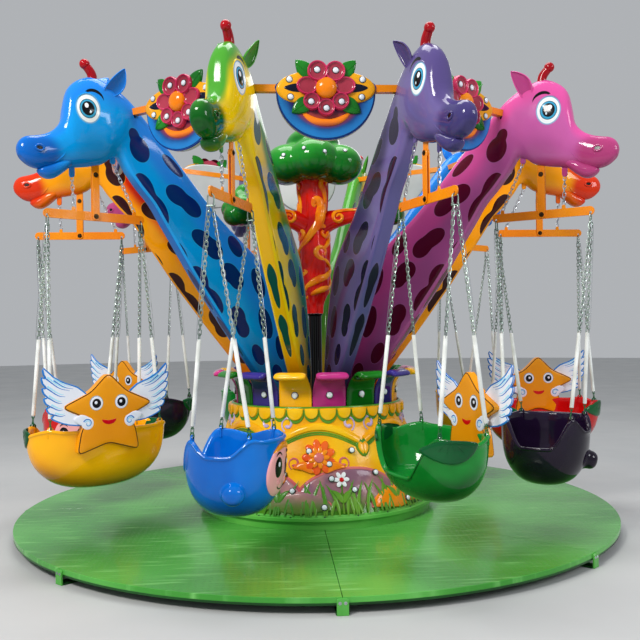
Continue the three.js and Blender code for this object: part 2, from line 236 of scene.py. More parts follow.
class Form:
    """Gathers faces, each with a material slot, and makes one object of them."""

    def __init__(self):
        self.points, self.faces, self.slots, self.plan = [], [], [], []

    def add(self, points, faces, slot=0, matrix=FLAT, plan=None):
        start = len(self.points)
        self.points += [tuple(matrix @ Vector(p)) for p in points]
        self.faces += [tuple(start + k for k in face) for face in faces]
        self.slots += [slot] * len(faces)
        self.plan += list(plan) if plan is not None else [(-9.0, 0.0, 0.0)] * len(points)

    def grid(self, rings, slot=0, matrix=FLAT, around=True, loop=False, caps=True, plan=None):
        """Joins rings of equally many points, with end caps, or the last ring to the first."""
        count, size = len(rings), len(rings[0])
        faces = []
        for i in range(count if loop else count - 1):
            j = (i + 1) % count
            for k in range(size if around else size - 1):
                n = (k + 1) % size
                faces.append((i * size + k, i * size + n, j * size + n, j * size + k))
        if caps and not loop and around:
            faces.append(tuple(range(size))[::-1])
            faces.append(tuple((count - 1) * size + k for k in range(size)))
        self.add([p for ring in rings for p in ring], faces, slot, matrix, plan)

    def revolve(self, profile, segments, slot=0, matrix=FLAT):
        rings = [[(r * math.cos(t), r * math.sin(t), z) for r, z in profile] for t in steps_round(segments)]
        self.grid(rings, slot, matrix, loop=True)

    def ellipsoid(self, centre, radii, slot=0, matrix=FLAT, segments=20, rings=12):
        rows = []
        for i in range(rings + 1):
            lift = math.pi * i / rings - math.pi / 2
            rows.append([(centre[0] + radii[0] * math.cos(lift) * math.cos(t),
                          centre[1] + radii[1] * math.cos(lift) * math.sin(t),
                          centre[2] + radii[2] * math.sin(lift))
                         for t in steps_round(segments)])
        self.grid(rows, slot, matrix, caps=False)

    def tube(self, path, radius, sides=8, slot=0, matrix=FLAT, closed=False):
        """A round bar along a path, with one radius or one for each point."""
        path = [Vector(p) for p in path]
        count = len(path)
        radii = [float(r) for r in radius] if hasattr(radius, "__len__") else [float(radius)] * count
        rings = []
        ahead = (path[1] - path[-1 if closed else 0]).normalized()
        across = ahead.orthogonal().normalized()
        for i, p in enumerate(path):
            after = path[(i + 1) % count] if closed or i < count - 1 else p
            before = path[i - 1] if closed or i > 0 else p
            ahead = (after - before).normalized()
            across = (across - ahead * across.dot(ahead)).normalized()
            other = ahead.cross(across)
            rings.append([p + radii[i] * (across * math.cos(t) + other * math.sin(t))
                          for t in steps_round(sides)])
        self.grid(rings, slot, matrix, loop=closed)

    def plate(self, outline, low, high, bevel=0.0015, slot=0, matrix=RADIAL):
        """A flat outline made solid from low to high, with its edges eased."""
        inner = inset(outline, bevel)
        rings = [[(u, v, low) for u, v in inner], [(u, v, low + bevel) for u, v in outline],
                 [(u, v, high - bevel) for u, v in outline], [(u, v, high) for u, v in inner]]
        self.grid(rings, slot, matrix)

    def bolt(self, centre, r, matrix=FLAT, slot=0, washer=True):
        """A domed bolt head on a washer, standing out along w from centre."""
        place = matrix @ moved(*centre)
        if washer:
            self.plate(circle(0, 0, 1.7 * r), 0, 0.25 * r, 0.08 * r, slot, place)
        self.plate(circle(0, 0, r, r, 6), 0.2 * r, 0.9 * r, 0.12 * r, slot, place)

    def cap(self, centre, r, matrix=FLAT, slot=0, rim_slot=1):
        """A small lamp: a lens in a ring, standing out along w from centre."""
        place = matrix @ moved(*centre)
        dome = [[(r * math.cos(b) * math.cos(t), r * math.cos(b) * math.sin(t),
                  0.12 * r + 0.5 * r * math.sin(b))
                 for t in steps_round(14)] for b in np.linspace(0, math.pi / 2, 5)]
        self.grid(dome, slot, place, caps=False)
        ring = [[((1.12 * r + 0.14 * r * math.cos(b)) * math.cos(t),
                  (1.12 * r + 0.14 * r * math.cos(b)) * math.sin(t), 0.14 * r * math.sin(b))
                  for b in steps_round(5)] for t in steps_round(14)]
        self.grid(ring, rim_slot, place, loop=True)

    def mesh(self, name, sharp=35):
        mesh = bpy.data.meshes.new(name)
        mesh.from_pydata(self.points, [], self.faces)
        mesh.polygons.foreach_set("material_index", self.slots)
        plan = mesh.attributes.new("plan", "FLOAT_VECTOR", "POINT")
        plan.data.foreach_set("vector", np.array(self.plan, np.float32).ravel())
        work = bmesh.new()
        work.from_mesh(mesh)
        bmesh.ops.remove_doubles(work, verts=work.verts, dist=1e-5)
        bmesh.ops.recalc_face_normals(work, faces=work.faces)
        work.to_mesh(mesh)
        work.free()
        mesh.shade_smooth()
        mesh.set_sharp_from_angle(angle=math.radians(sharp))
        return mesh


def put(name, mesh, materials, body, replaces=(), matrix=FLAT):
    """Places a mesh as a piece of a body, in place of the named frame nodes."""
    data = mesh.copy()
    for material in materials:
        data.materials.append(material)
    piece = linked(name, data)
    piece.matrix_world = matrix
    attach(piece, body)
    if replaces:
        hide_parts(*replaces)
    return piece


# Relief on a surface, whose place function gives a point for (u along it, v height, h out of it)

# How deep the foot of a relief stands in its surface
SINK = 0.004


def relief(form, outline, lift, place, slot=0, sink=SINK):
    """A moulded pillow with the given outline, raised from the surface that place gives."""
    pts = np.array(outline, float)
    middle = pts.mean(0)
    rings = []
    for share, height in ((1, -sink), (1, 0.3 * lift), (0.96, 0.7 * lift), (0.86, 0.92 * lift), (0.6, lift),
                          (0.08, 1.03 * lift)):
        rings.append([place(*(middle + (p - middle) * share), height) for p in pts])
    form.grid(rings, slot)


def cup(form, outline, lift, place, rim_slot, cup_slot):
    """A petal with a raised rim round a hollow."""
    pts = np.array(outline, float)
    middle = pts.mean(0)

    def rows(steps):
        return [[place(*(middle + (p - middle) * share), height * lift) for p in pts]
                for share, height in steps]
    form.grid(rows(((1, -SINK / lift), (1, 0.55), (0.970, 0.88), (0.91, 1.0), (0.84, 0.97), (0.79, 0.84))),
              rim_slot, caps=False)
    form.grid(rows(((0.79, 0.84), (0.72, 0.74), (0.55, 0.70), (0.25, 0.70), (0.06, 0.70))), cup_slot,
              caps=False)
    form.add([place(*(middle + (p - middle) * 0.06), 0.70 * lift) for p in pts], [tuple(range(len(pts)))],
             cup_slot)


def ridge(form, points, width, place, slot=0, flat=0.6, sides=8):
    """A raised cord along points on a surface, flatter than it is wide and thin at its ends."""
    pts = np.array(points, float)
    count = len(pts)
    widths = np.array(width, float) if hasattr(width, "__len__") else np.full(count, float(width))
    rings = []
    for i in range(count):
        along = pts[min(i + 1, count - 1)] - pts[max(i - 1, 0)]
        along = along / max(np.linalg.norm(along), 1e-9)
        side = np.array((-along[1], along[0]))
        rings.append([place(*(pts[i] + side * widths[i] * math.cos(t)), widths[i] * flat * math.sin(t))
                      for t in steps_round(sides)])
    form.grid(rings, slot)


# Materials

def rgb(r, g, b):
    """Linear colour of a colour as seen on a screen."""
    return tuple(c / 12.92 if c <= 0.04045 else ((c + 0.055) / 1.055) ** 2.4 for c in (r, g, b)) + (1.0,)


class Paint:
    """A node material with one shader."""

    def __init__(self, name, metallic=0.0, coat=0.0):
        self.material = bpy.data.materials.new(name)
        self.material.use_nodes = True
        self.tree = self.material.node_tree
        self.shader = self.tree.nodes["Principled BSDF"]
        self.shader.inputs["Metallic"].default_value = metallic
        self.shader.inputs["Roughness"].default_value = 0.25
        self.shader.inputs["Coat Weight"].default_value = 0.22 * coat
        self.shader.inputs["Specular IOR Level"].default_value = 0.22
        self.shader.inputs["Coat Roughness"].default_value = 0.04
        self.place = self.node("ShaderNodeTexCoord").outputs["Object"]

    def node(self, kind, **settings):
        made = self.tree.nodes.new(kind)
        for key, value in settings.items():
            setattr(made, key, value)
        return made

    def feed(self, socket, value):
        if isinstance(value, bpy.types.NodeSocket):
            self.tree.links.new(value, socket)
        else:
            socket.default_value = value

    def math(self, operation, a, b=0.0, c=0.0):
        made = self.node("ShaderNodeMath", operation=operation)
        for socket, value in zip(made.inputs, (a, b, c)):
            self.feed(socket, value)
        return made.outputs[0]

    def plus(self, a, b):
        return self.math("ADD", a, b)

    def minus(self, a, b):
        return self.math("SUBTRACT", a, b)

    def times(self, a, b):
        return self.math("MULTIPLY", a, b)

    def spread(self, value, source, target, **settings):
        """The value's place in the source range, laid out over the target range."""
        made = self.node("ShaderNodeMapRange", **settings)
        self.feed(made.inputs["Value"], value)
        for ends, names in ((source, ("From Min", "From Max")), (target, ("To Min", "To Max"))):
            for end, name in zip(ends, names):
                made.inputs[name].default_value = end
        return made.outputs["Result"]

    def ramp(self, value, low, high):
        """0 before low and 1 past high, or the other way round where low is the larger."""
        ends, target = ((low, high), (0.0, 1.0)) if low <= high else ((high, low), (1.0, 0.0))
        return self.spread(value, ends, target, interpolation_type="SMOOTHSTEP")

    def lean(self):
        """The upward part of the surface's normal."""
        return self.split(self.node("ShaderNodeNewGeometry").outputs["Normal"])[2]

    def mix(self, factor, a, b):
        """From a at factor 0 to b at 1, each a socket, a screen colour or a linear one with alpha."""
        made = self.node("ShaderNodeMix", data_type="RGBA")
        self.feed(made.inputs[0], factor)
        for socket, value in zip(made.inputs[6:8], (a, b)):
            on_screen = isinstance(value, (tuple, list)) and len(value) == 3
            self.feed(socket, rgb(*value) if on_screen else value)
        return made.outputs[2]

    def patches(self, dark, light, scale=2.2, detail=3.0, low=0.3, high=0.7):
        """Two colours in soft patches."""
        return self.mix(self.ramp(self.noise(scale, detail), low, high), dark, light)

    def split(self, vector):
        made = self.node("ShaderNodeSeparateXYZ")
        self.feed(made.inputs[0], vector)
        return made.outputs[0], made.outputs[1], made.outputs[2]

    def plane(self, u, v):
        made = self.node("ShaderNodeCombineXYZ")
        self.feed(made.inputs[0], u)
        self.feed(made.inputs[1], v)
        return made.outputs[0]

    def blob(self, plane, centre, radii, turn=0.0):
        """Distance from the middle of an ellipse, 1 at its edge."""
        made = self.node("ShaderNodeMapping", vector_type="TEXTURE")
        self.feed(made.inputs["Vector"], plane)
        made.inputs["Location"].default_value = (*centre, 0)
        made.inputs["Rotation"].default_value = (0, 0, math.radians(turn))
        made.inputs["Scale"].default_value = (*radii, 1)
        length = self.node("ShaderNodeVectorMath", operation="LENGTH")
        self.feed(length.inputs[0], made.outputs[0])
        return length.outputs["Value"]

    def inside(self, distance, soft=0.03):
        return self.ramp(distance, 1 + soft, 1 - soft)

    def noise(self, scale, detail=2.0, vector=None):
        made = self.node("ShaderNodeTexNoise")
        self.feed(made.inputs["Vector"], self.place if vector is None else vector)
        made.inputs["Scale"].default_value = scale
        made.inputs["Detail"].default_value = detail
        return made.outputs[0]

    def attribute(self, name):
        return self.node("ShaderNodeAttribute", attribute_name=name).outputs["Vector"]

    def bump(self, height, strength, distance):
        made = self.node("ShaderNodeBump")
        made.inputs["Strength"].default_value = strength
        made.inputs["Distance"].default_value = distance
        self.feed(made.inputs["Height"], height)
        self.tree.links.new(made.outputs[0], self.shader.inputs["Normal"])

    def finish(self, colour, rough=(0.12, 0.3), scale=3.0, peel=0.12):
        """Colour, uneven gloss and the slight waviness of sprayed paint."""
        self.feed(self.shader.inputs["Base Color"], colour)
        self.feed(self.shader.inputs["Roughness"], self.spread(self.noise(scale, 4.0), (0.3, 0.7), rough))
        if peel:
            self.bump(self.noise(28.0, 2.0), peel, 0.004)
        return self.material


def gloss_paint(name, dark, light, rough=(0.1, 0.22), scale=3.0, peel=0.1, coat=0.6, metallic=0.0):
    """Plain glossy paint with a little unevenness in its colour."""
    paint = Paint(name, metallic=metallic, coat=coat)
    return paint.finish(paint.patches(dark, light), rough, scale, peel)


def metal_paint(name, dark, light, rough, scale, metallic):
    """Bare metal with a fine grain."""
    return gloss_paint(name, dark, light, rough, scale, 0.0, 0.0, metallic)


# Camera, light and floor

CAMERA_AT = (-0.335, -6.095, 1.412)
CAMERA_TURN = {"heading": -3.151, "yaw": 0.354, "pitch": 0.549, "roll": -0.743}
FOCAL_PIXELS = 803
IMAGE_WIDTH = 640


def make_camera():
    yaw, pitch, roll = (math.radians(CAMERA_TURN[key]) for key in ("yaw", "pitch", "roll"))
    ahead = Vector((math.sin(yaw) * math.cos(pitch), math.cos(yaw) * math.cos(pitch), math.sin(pitch)))
    right = Vector((math.cos(yaw), -math.sin(yaw), 0))
    up = right.cross(ahead)
    across = right * math.cos(roll) + up * math.sin(roll)
    upright = up * math.cos(roll) - right * math.sin(roll)
    axes = Matrix((across, upright, -ahead)).transposed().to_4x4()
    data = bpy.data.cameras.new("camera")
    data.sensor_width = 36
    data.lens = FOCAL_PIXELS / IMAGE_WIDTH * data.sensor_width
    data.clip_end = 200
    camera = linked("camera", data)
    camera.matrix_world = moved(*CAMERA_AT) @ turned(math.radians(CAMERA_TURN["heading"])) @ axes
    bpy.context.scene.camera = camera


def area_light(name, at, aim, size, power, colour=(1, 1, 1)):
    data = bpy.data.lights.new(name, "AREA")
    data.shape = "RECTANGLE"
    data.size, data.size_y = size
    data.energy = power
    data.color = colour
    light = linked(name, data)
    light.location = at
    light.rotation_euler = (Vector(aim) - Vector(at)).to_track_quat("-Z", "Y").to_euler()


def make_studio():
    bpy.context.scene.view_settings.view_transform = "Standard"
    world = bpy.data.worlds.new("studio")
    bpy.context.scene.world = world
    world.use_nodes = True
    world.node_tree.nodes["Background"].inputs["Color"].default_value = (0.86, 0.89, 0.93, 1)
    world.node_tree.nodes["Background"].inputs["Strength"].default_value = 0.50
    area_light("key", (-4.5, -6.5, 6.5), (0, 0, 1.3), (2.6, 1.8), 600, (1, 0.98, 0.95))
    area_light("fill", (6.5, -5.0, 4.5), (0, 0, 1.4), (2.6, 2.6), 210, (0.95, 0.97, 1))
    area_light("top", (0, 0.5, 7.5), (0, 0, 0), (5, 3), 250)
    area_light("rim", (2.5, 7.0, 5.5), (0, 0, 1.6), (4, 1.5), 40)
    paint = Paint("floor")
    pale = paint.patches((0.50, 0.51, 0.51, 1), (0.54, 0.545, 0.54, 1), 0.8, 4.0)
    material = paint.finish(pale, (0.42, 0.6), 2.0, 0.02)
    form = Form()
    form.grid([level_ring(r, 0, 48) for r in (0.2, 3, 8, 30)], caps=False)
    form.add(level_ring(0.2, 0, 48), [tuple(range(48))])
    floor = linked("floor", form.mesh("floor"))
    floor.data.materials.append(material)


make_camera()
make_studio()


# Paints that several pieces use

ORANGE_STEEL = gloss_paint("orange_steel", (0.92, 0.50, 0.02), (0.97, 0.60, 0.04), (0.2, 0.36), 9.0, 0.06,
                           0.3)
ZINC = metal_paint("zinc", (0.62, 0.64, 0.66), (0.84, 0.86, 0.88), (0.24, 0.42), 40.0, 1.0)
BLACK_GLOSS = gloss_paint("black_gloss", (0.015, 0.015, 0.018), (0.03, 0.03, 0.034), (0.06, 0.14))
LAMP = gloss_paint("lamp_lens", (0.78, 0.82, 0.86), (0.94, 0.96, 0.98), (0.06, 0.14), 30.0, 0.0, 0.8)
LAMP_RING = metal_paint("lamp_ring", (0.20, 0.21, 0.23), (0.42, 0.44, 0.46), (0.2, 0.3), 30.0, 0.8)
DARK_BOLT = metal_paint("dark_bolt", (0.16, 0.12, 0.08), (0.34, 0.27, 0.18), (0.25, 0.4), 40.0, 0.9)
PALE_BACK = gloss_paint("pale_back", (0.66, 0.69, 0.68), (0.80, 0.82, 0.81), (0.25, 0.4))
WHITE = gloss_paint("white_gloss", (0.86, 0.88, 0.90), (0.96, 0.97, 0.98), (0.1, 0.2))
RED = gloss_paint("red_gloss", (0.72, 0.02, 0.05), (0.88, 0.05, 0.07), (0.05, 0.12))
HORN_RED = gloss_paint("horn_red", (0.58, 0.02, 0.08), (0.78, 0.05, 0.10), (0.05, 0.12))
INK = gloss_paint("dark_ink", (0.02, 0.015, 0.02), (0.045, 0.03, 0.035), (0.15, 0.25))
LEAF_GREEN = gloss_paint("leaf_green", (0.03, 0.34, 0.08), (0.16, 0.58, 0.16), (0.08, 0.16))
GRASS = gloss_paint("grass_green", (0.20, 0.46, 0.08), (0.42, 0.62, 0.17), (0.28, 0.42))
ROSE = gloss_paint("rose", (0.50, 0.12, 0.19), (0.72, 0.26, 0.34), (0.1, 0.2), 9.0)
PINK = gloss_paint("pink", (0.68, 0.12, 0.29), (0.84, 0.24, 0.42), (0.08, 0.16), 9.0)
TANGERINE = gloss_paint("tangerine", (0.88, 0.42, 0.03), (0.97, 0.58, 0.08), (0.1, 0.2), 9.0)


# Platform and turntable

SECTORS = 8


def platform_paint():
    """Patchy green, with pale streaks painted in as a reflection of glare, and a raised tread of lozenges
    that lean two ways.
    """
    green = Paint("platform_green", coat=0.5)
    colour = green.patches((0.24, 0.58, 0.20), (0.36, 0.70, 0.30), 0.9, 3.0, 0.35, 0.65)
    glare_streak = green.node("ShaderNodeMapping")
    green.feed(glare_streak.inputs["Vector"], green.place)
    glare_streak.inputs["Rotation"].default_value = (0, 0, 0.5)
    glare_streak.inputs["Scale"].default_value = (3.0, 26.0, 1.0)
    lines = green.noise(1.0, 4.0, glare_streak.outputs[0])
    # Painted reflection: pale streaks of glare mixed into the deck's colour; the same noise also sets
    # roughness and bump.
    colour = green.mix(green.ramp(lines, 0.52, 0.8), colour, (0.48, 0.78, 0.42))
    green.feed(green.shader.inputs["Base Color"], colour)
    green.feed(green.shader.inputs["Roughness"], green.math("MULTIPLY_ADD", lines, 0.26, 0.08))
    x, y = green.split(green.place)[:2]
    u, v = green.math("DIVIDE", x, 0.036), green.math("DIVIDE", y, 0.036)
    odd = green.math("FLOORED_MODULO", green.plus(green.math("FLOOR", u), green.math("FLOOR", v)), 2.0)
    du, dv = [green.minus(green.math("FRACT", w), 0.5) for w in (u, v)]
    dv = green.times(dv, green.math("MULTIPLY_ADD", odd, -2.0, 1.0))
    lozenge = green.blob(green.plane(green.plus(du, dv), green.minus(du, dv)), (0, 0), (0.66, 0.22))
    height = green.plus(green.ramp(lozenge, 1.0, 0.6), green.times(lines, 0.5))
    green.bump(height, 0.30, 0.002)
    return green.material


def platform():
    form = Form()
    step = math.tau / SECTORS
    edge = PLATFORM_R - 0.003
    seam = 0.0012
    for i in range(SECTORS):
        arc = [(edge * math.cos(t), edge * math.sin(t)) for t in np.linspace(0, step, 28)]
        arc = [(edge * math.cos(seam / edge), seam)] + arc[1:-1]
        end = Vector((edge * math.cos(step), edge * math.sin(step)))
        side = Vector((math.sin(step), -math.cos(step))) * seam
        sector = [(0.9 * seam * 2.6, seam)] + arc + [(end.x + side.x, end.y + side.y)]
        form.plate(sector, PLATFORM_TOP - 0.030, PLATFORM_TOP, 0.002, 0, turned(i * step - math.pi / 2))
    core = [(0.0, 0.045), (PLATFORM_R - 0.012, 0.045), (PLATFORM_R - 0.004, 0.049),
            (PLATFORM_R - 0.004, 0.062), (PLATFORM_R - 0.012, 0.064), (0.0, 0.064)]
    form.revolve(core, 160, 1)
    for i in range(SECTORS):
        place = turned(i * step - math.pi / 2)
        bracket = [(-0.03, 0.0), (0.03, 0.0), (0.03, 0.078), (0.022, 0.085), (-0.022, 0.085),
                   (-0.03, 0.078)]
        form.plate(bracket, PLATFORM_R - 0.004, PLATFORM_R + 0.008, 0.002, 0, place @ FACING)
        for u in (-0.014, 0.014):
            form.bolt((u, 0.062, PLATFORM_R + 0.0075), 0.005, place @ FACING, 2)
        form.plate(rectangle(-0.045, -0.035, 0.045, 0.035), 0.0, 0.012, 0.002, 1,
                   place @ moved(PLATFORM_R - 0.05, 0, 0))
        form.plate(circle(0, 0, 0.035), 0.012, 0.05, 0.003, 1, place @ moved(1.2, 0, 0))
    form.plate(circle(0, 0, 0.2, 0.2, 32), 0.0, 0.05, 0.004, 1, FLAT)
    green = platform_paint()
    dark = gloss_paint("platform_under", (0.04, 0.20, 0.06), (0.09, 0.34, 0.11), (0.3, 0.45))
    put("platform_deck", form.mesh("platform_deck"), [green, dark, ZINC], "base", ["platform"])


def turntable():
    form = Form()
    profile = [(0, 0.8473), (0.18, 0.8473), (0.18, 0.857), (0.54, 0.857), (0.545, 0.861), (0.545, 0.888),
               (0.541, 0.892), (0.3, 0.892), (0, 0.892)]
    form.revolve(profile, 96)
    for i in range(STATIONS):
        place = station_matrix(i)
        form.plate(rectangle(0.245, -0.078, 0.45, 0.078), 0.8915, 0.8995, 0.002, 0, place)
        for u in (0.262, 0.434):
            for v in (-0.0735, 0.0735):
                form.bolt((u, v * 0.97, 0.899), 0.004, place, 1, washer=False)
    steel = gloss_paint("turntable_steel", (0.10, 0.11, 0.12), (0.20, 0.21, 0.22), (0.25, 0.4), 12.0, 0.05,
                        0.2, 0.6)
    put("turntable_plate", form.mesh("turntable_plate"), [steel, ZINC], "rotor", ["turntable"])


def pole():
    form = Form()
    profile = [(0, 0.8925), (0.085, 0.8925), (0.085, 0.902), (0.058, 0.908), (0.05, 0.925), (0.05, 1.50),
               (0.058, 1.508), (0.06, 1.519), (0, 1.519)]
    form.revolve(profile, 40)
    for t in steps_round(6):
        form.bolt((0.07 * math.cos(t), 0.07 * math.sin(t), 0.901), 0.005, FLAT, 1)
    put("centre_pole", form.mesh("centre_pole"), [BLACK_GLOSS, ZINC], "rotor", ["pole"])


# Drum with its moulded relief

DRUM_PROFILE = smooth_rows([(0.845, 0.174), (0.838, 0.182), (0.800, 0.272), (0.758, 0.390), (0.715, 0.540),
                            (0.672, 0.665), (0.646, 0.765), (0.641, 0.820), (0.640, 0.850), (0.637, 0.868),
                            (0.632, 0.873)], 3)
DRUM_GIRTH = 0.72


def drum_radius(z):
    return float(np.interp(z, DRUM_PROFILE[:, 1], DRUM_PROFILE[:, 0]))


def on_drum(turn):
    """Places (u along the girth, v height, h out of the surface) round an angle in degrees."""
    def place(u, v, h):
        angle = math.radians(turn) + u / DRUM_GIRTH
        r = drum_radius(v) + h
        return (r * math.sin(angle), -r * math.cos(angle), v)
    return place


# Swags round the drum, the foot of its hills and the middle of its large blossoms
SWAGS = 7
HILL_FOOT = 0.19
BLOSSOM_Z = 0.545

# Slots of the drum's paints
BODY, SCALLOP, OUTLINE, HILL, EDGE, TULIP, DAISY, LENS, RING, FLANGE, STEM = range(11)
HEART, CORAL, LILAC = 11, 12, 13


def drum_scallops(form):
    """Scallops under the rim, each over a green edge."""
    for i in range(36):
        place = on_drum(i * 10 + 4)
        size = 0.058 if i % 2 else 0.070
        drop = 0.060 if i % 2 else 0.072
        lobe = [(-size, 0.862), (-size, 0.841)]
        lobe += [(size * math.sin(t), 0.841 - drop * math.cos(t)) for t in np.linspace(-1.45, 1.45, 15)]
        lobe += [(size, 0.841), (size, 0.862), (0, 0.864)]
        relief(form, shifted(lobe, 0, -0.010), 0.009, place, OUTLINE)
        relief(form, [(u * 0.88, 0.860 + (v - 0.860) * 0.86) for u, v in lobe], 0.021, place, SCALLOP)


def drum_swags(form):
    """Yellow swags with green lines under them and buds at their ends."""
    for i in range(SWAGS):
        place = on_drum(i * 360 / SWAGS - 2)
        arc = [(0.30 * s, 0.635 + 0.105 * math.cos(1.5 * s)) for s in np.linspace(-1, 1, 25)]
        ridge(form, arc, 0.026, place, SCALLOP, 0.6)
        for drop in (0.036, 0.050):
            ridge(form, shifted(arc, 0, -drop), 0.006, place, OUTLINE, 1.0)
        for side in (-1, 1):
            bud = leaf_outline(side * 0.30, 0.652, 0.120, 0.036, -90 + side * 8)
            relief(form, bud, 0.012, place, OUTLINE)
            relief(form, shrunk(bud, 0.72), 0.018, place, SCALLOP)


def drum_hills(form):
    """Hills along the foot, each with a raised edge."""
    for i in range(SWAGS):
        place = on_drum(i * 360 / SWAGS + 14)
        wide = 0.30 if i % 2 else 0.36
        high = 0.225 if i % 2 else 0.275
        top_line = [(wide * math.sin(t), HILL_FOOT + high * math.cos(t) ** 0.8)
                    for t in np.linspace(-1.48, 1.48, 33)]
        relief(form, top_line + [(wide * 0.9, 0.186), (0, 0.185), (-wide * 0.9, 0.186)], 0.012, place, HILL)
        ridge(form, top_line, 0.011, place, EDGE, 0.9)
        place = on_drum(i * 360 / SWAGS - 12)
        low = [(0.2 * math.sin(t), HILL_FOOT + 0.14 * math.cos(t) ** 0.8)
               for t in np.linspace(-1.48, 1.48, 25)]
        relief(form, low + [(0, 0.185)], 0.019, place, TULIP if i % 2 else HILL)
        ridge(form, low, 0.009, place, EDGE, 0.9)


def drum_grass(form):
    """Blades of grass along the foot."""
    grow = np.linspace(0, 1, 7)
    for i in range(150):
        base = on_drum(i * 2.4 + 1.6 * math.sin(i * 5.3))
        high = 0.14 + 0.045 * (1 + math.sin(i * 2.17))
        lean = 0.075 * math.sin(i * 3.7)
        blade = [(lean * t * t, 0.180 + high * t) for t in grow]
        width = 0.0115 * np.sin(math.pi * (0.12 + 0.86 * grow))
        ridge(form, blade, width, above(base, 0.013), STEM, 0.5, 6)


def drum_flowers(form):
    """Flowers of three kinds on stems."""
    for i in range(14):
        place = on_drum(i * 360 / 14 + 9 + 5 * math.sin(i * 2.3))
        lift = 0.40 + 0.05 * math.sin(i * 1.9)
        sway = 0.02 * math.sin(i * 4.1)
        stalk = [(sway * math.sin(3 * t), HILL_FOOT + (lift - HILL_FOOT) * t)
                 for t in np.linspace(0, 1, 11)]
        ridge(form, stalk, 0.006, place, STEM, 3.0)
        for side in (-1, 1):
            leaf = leaf_outline(0, 0.25, 0.11, 0.018, 90 - side * 38, side * 0.012)
            relief(form, leaf, 0.022, place, STEM)
        top = stalk[-1]
        if i % 3 == 0:
            for petal in petal_ring(6, 0.031, (0.022, 0.014)):
                relief(form, shifted(petal, *top), 0.022, place, DAISY, 0.012)
            relief(form, shifted(circle(0, 0, 0.015), *top), 0.03, place, HEART)
        elif i % 3 == 1:
            for turn in (-24, 24, 0):
                lift, slot = (0.024, TULIP) if turn else (0.03, SCALLOP)
                relief(form, leaf_outline(top[0], top[1] - 0.012, 0.075, 0.020, 90 + turn), lift, place,
                       slot)
        else:
            relief(form, shifted(circle(0, 0, 0.055, 0.034, 24, 0, math.pi), *top), 0.032, place, HEART)
            for u in (-0.028, 0.0, 0.028):
                relief(form, shifted(circle(0, 0, 0.008), top[0] + u, top[1] + 0.014), 0.039, place, DAISY)


def drum_blossoms(form):
    """A large blossom under each swag, with pale curls beside it."""
    for i in range(SWAGS):
        place = on_drum(i * 360 / SWAGS - 2)
        for side in (-1, 1):
            leaf = leaf_outline(side * 0.03, 0.445, 0.15, 0.030, 90 - side * 78, side * 0.03)
            relief(form, leaf, 0.022, place, TULIP)
            t = np.linspace(-1.2, 5.6, 34)
            size = 0.046 * (1 - t / 8.5)
            curl = np.stack([side * (0.235 + size * np.cos(t)), 0.758 + size * np.sin(t)], 1)
            ridge(form, curl, 0.013 * np.linspace(0.35, 1, 34), place, LILAC, 1.0)
            curl = np.stack([side * (0.165 + 0.8 * size * np.cos(t)), 0.505 + 0.8 * size * np.sin(t)], 1)
            ridge(form, curl, 0.010 * np.linspace(0.4, 1, 34), place, EDGE, 1.0)
        for k, petal in enumerate(petal_ring(9, 0.072, (0.044, 0.027), 0.35)):
            relief(form, shifted(petal, 0, BLOSSOM_Z), 0.018 + 0.005 * (k % 2), place, CORAL)
        for petal in petal_ring(9, 0.046, (0.028, 0.016), 0.0):
            relief(form, shifted(petal, 0, BLOSSOM_Z), 0.030, place, TULIP)
        relief(form, shifted(circle(0, 0, 0.034), 0, BLOSSOM_Z), 0.040, place, EDGE)


def drum_lamps(form):
    """Lamps in rings, each on a round plate."""
    lamps = [(turn, 0.425 + 0.02 * math.sin(turn)) for turn in range(4, 364, 24)]
    lamps += [(turn, 0.335) for turn in range(15, 375, 30)] + [(turn, 0.235) for turn in range(0, 360, 45)]
    for i in range(SWAGS):
        lamps += [(i * 360 / SWAGS - 2 + side * 5.2, BLOSSOM_Z - 0.042 * side) for side in (-1, 1)]
        lamps += [(i * 360 / SWAGS + 16, 0.585)]
    for turn, z in lamps:
        point = Vector(on_drum(turn)(0, z, 0.026))
        along = Vector((math.sin(math.radians(turn)), -math.cos(math.radians(turn)), 0.32)).normalized()
        place = standing(point, along)
        form.plate(circle(0, 0, 0.0215, 0.0215, 18), -0.028, 0.001, 0.002, RING, place)
        form.cap((0, 0, 0), 0.0168, place, LENS, RING)


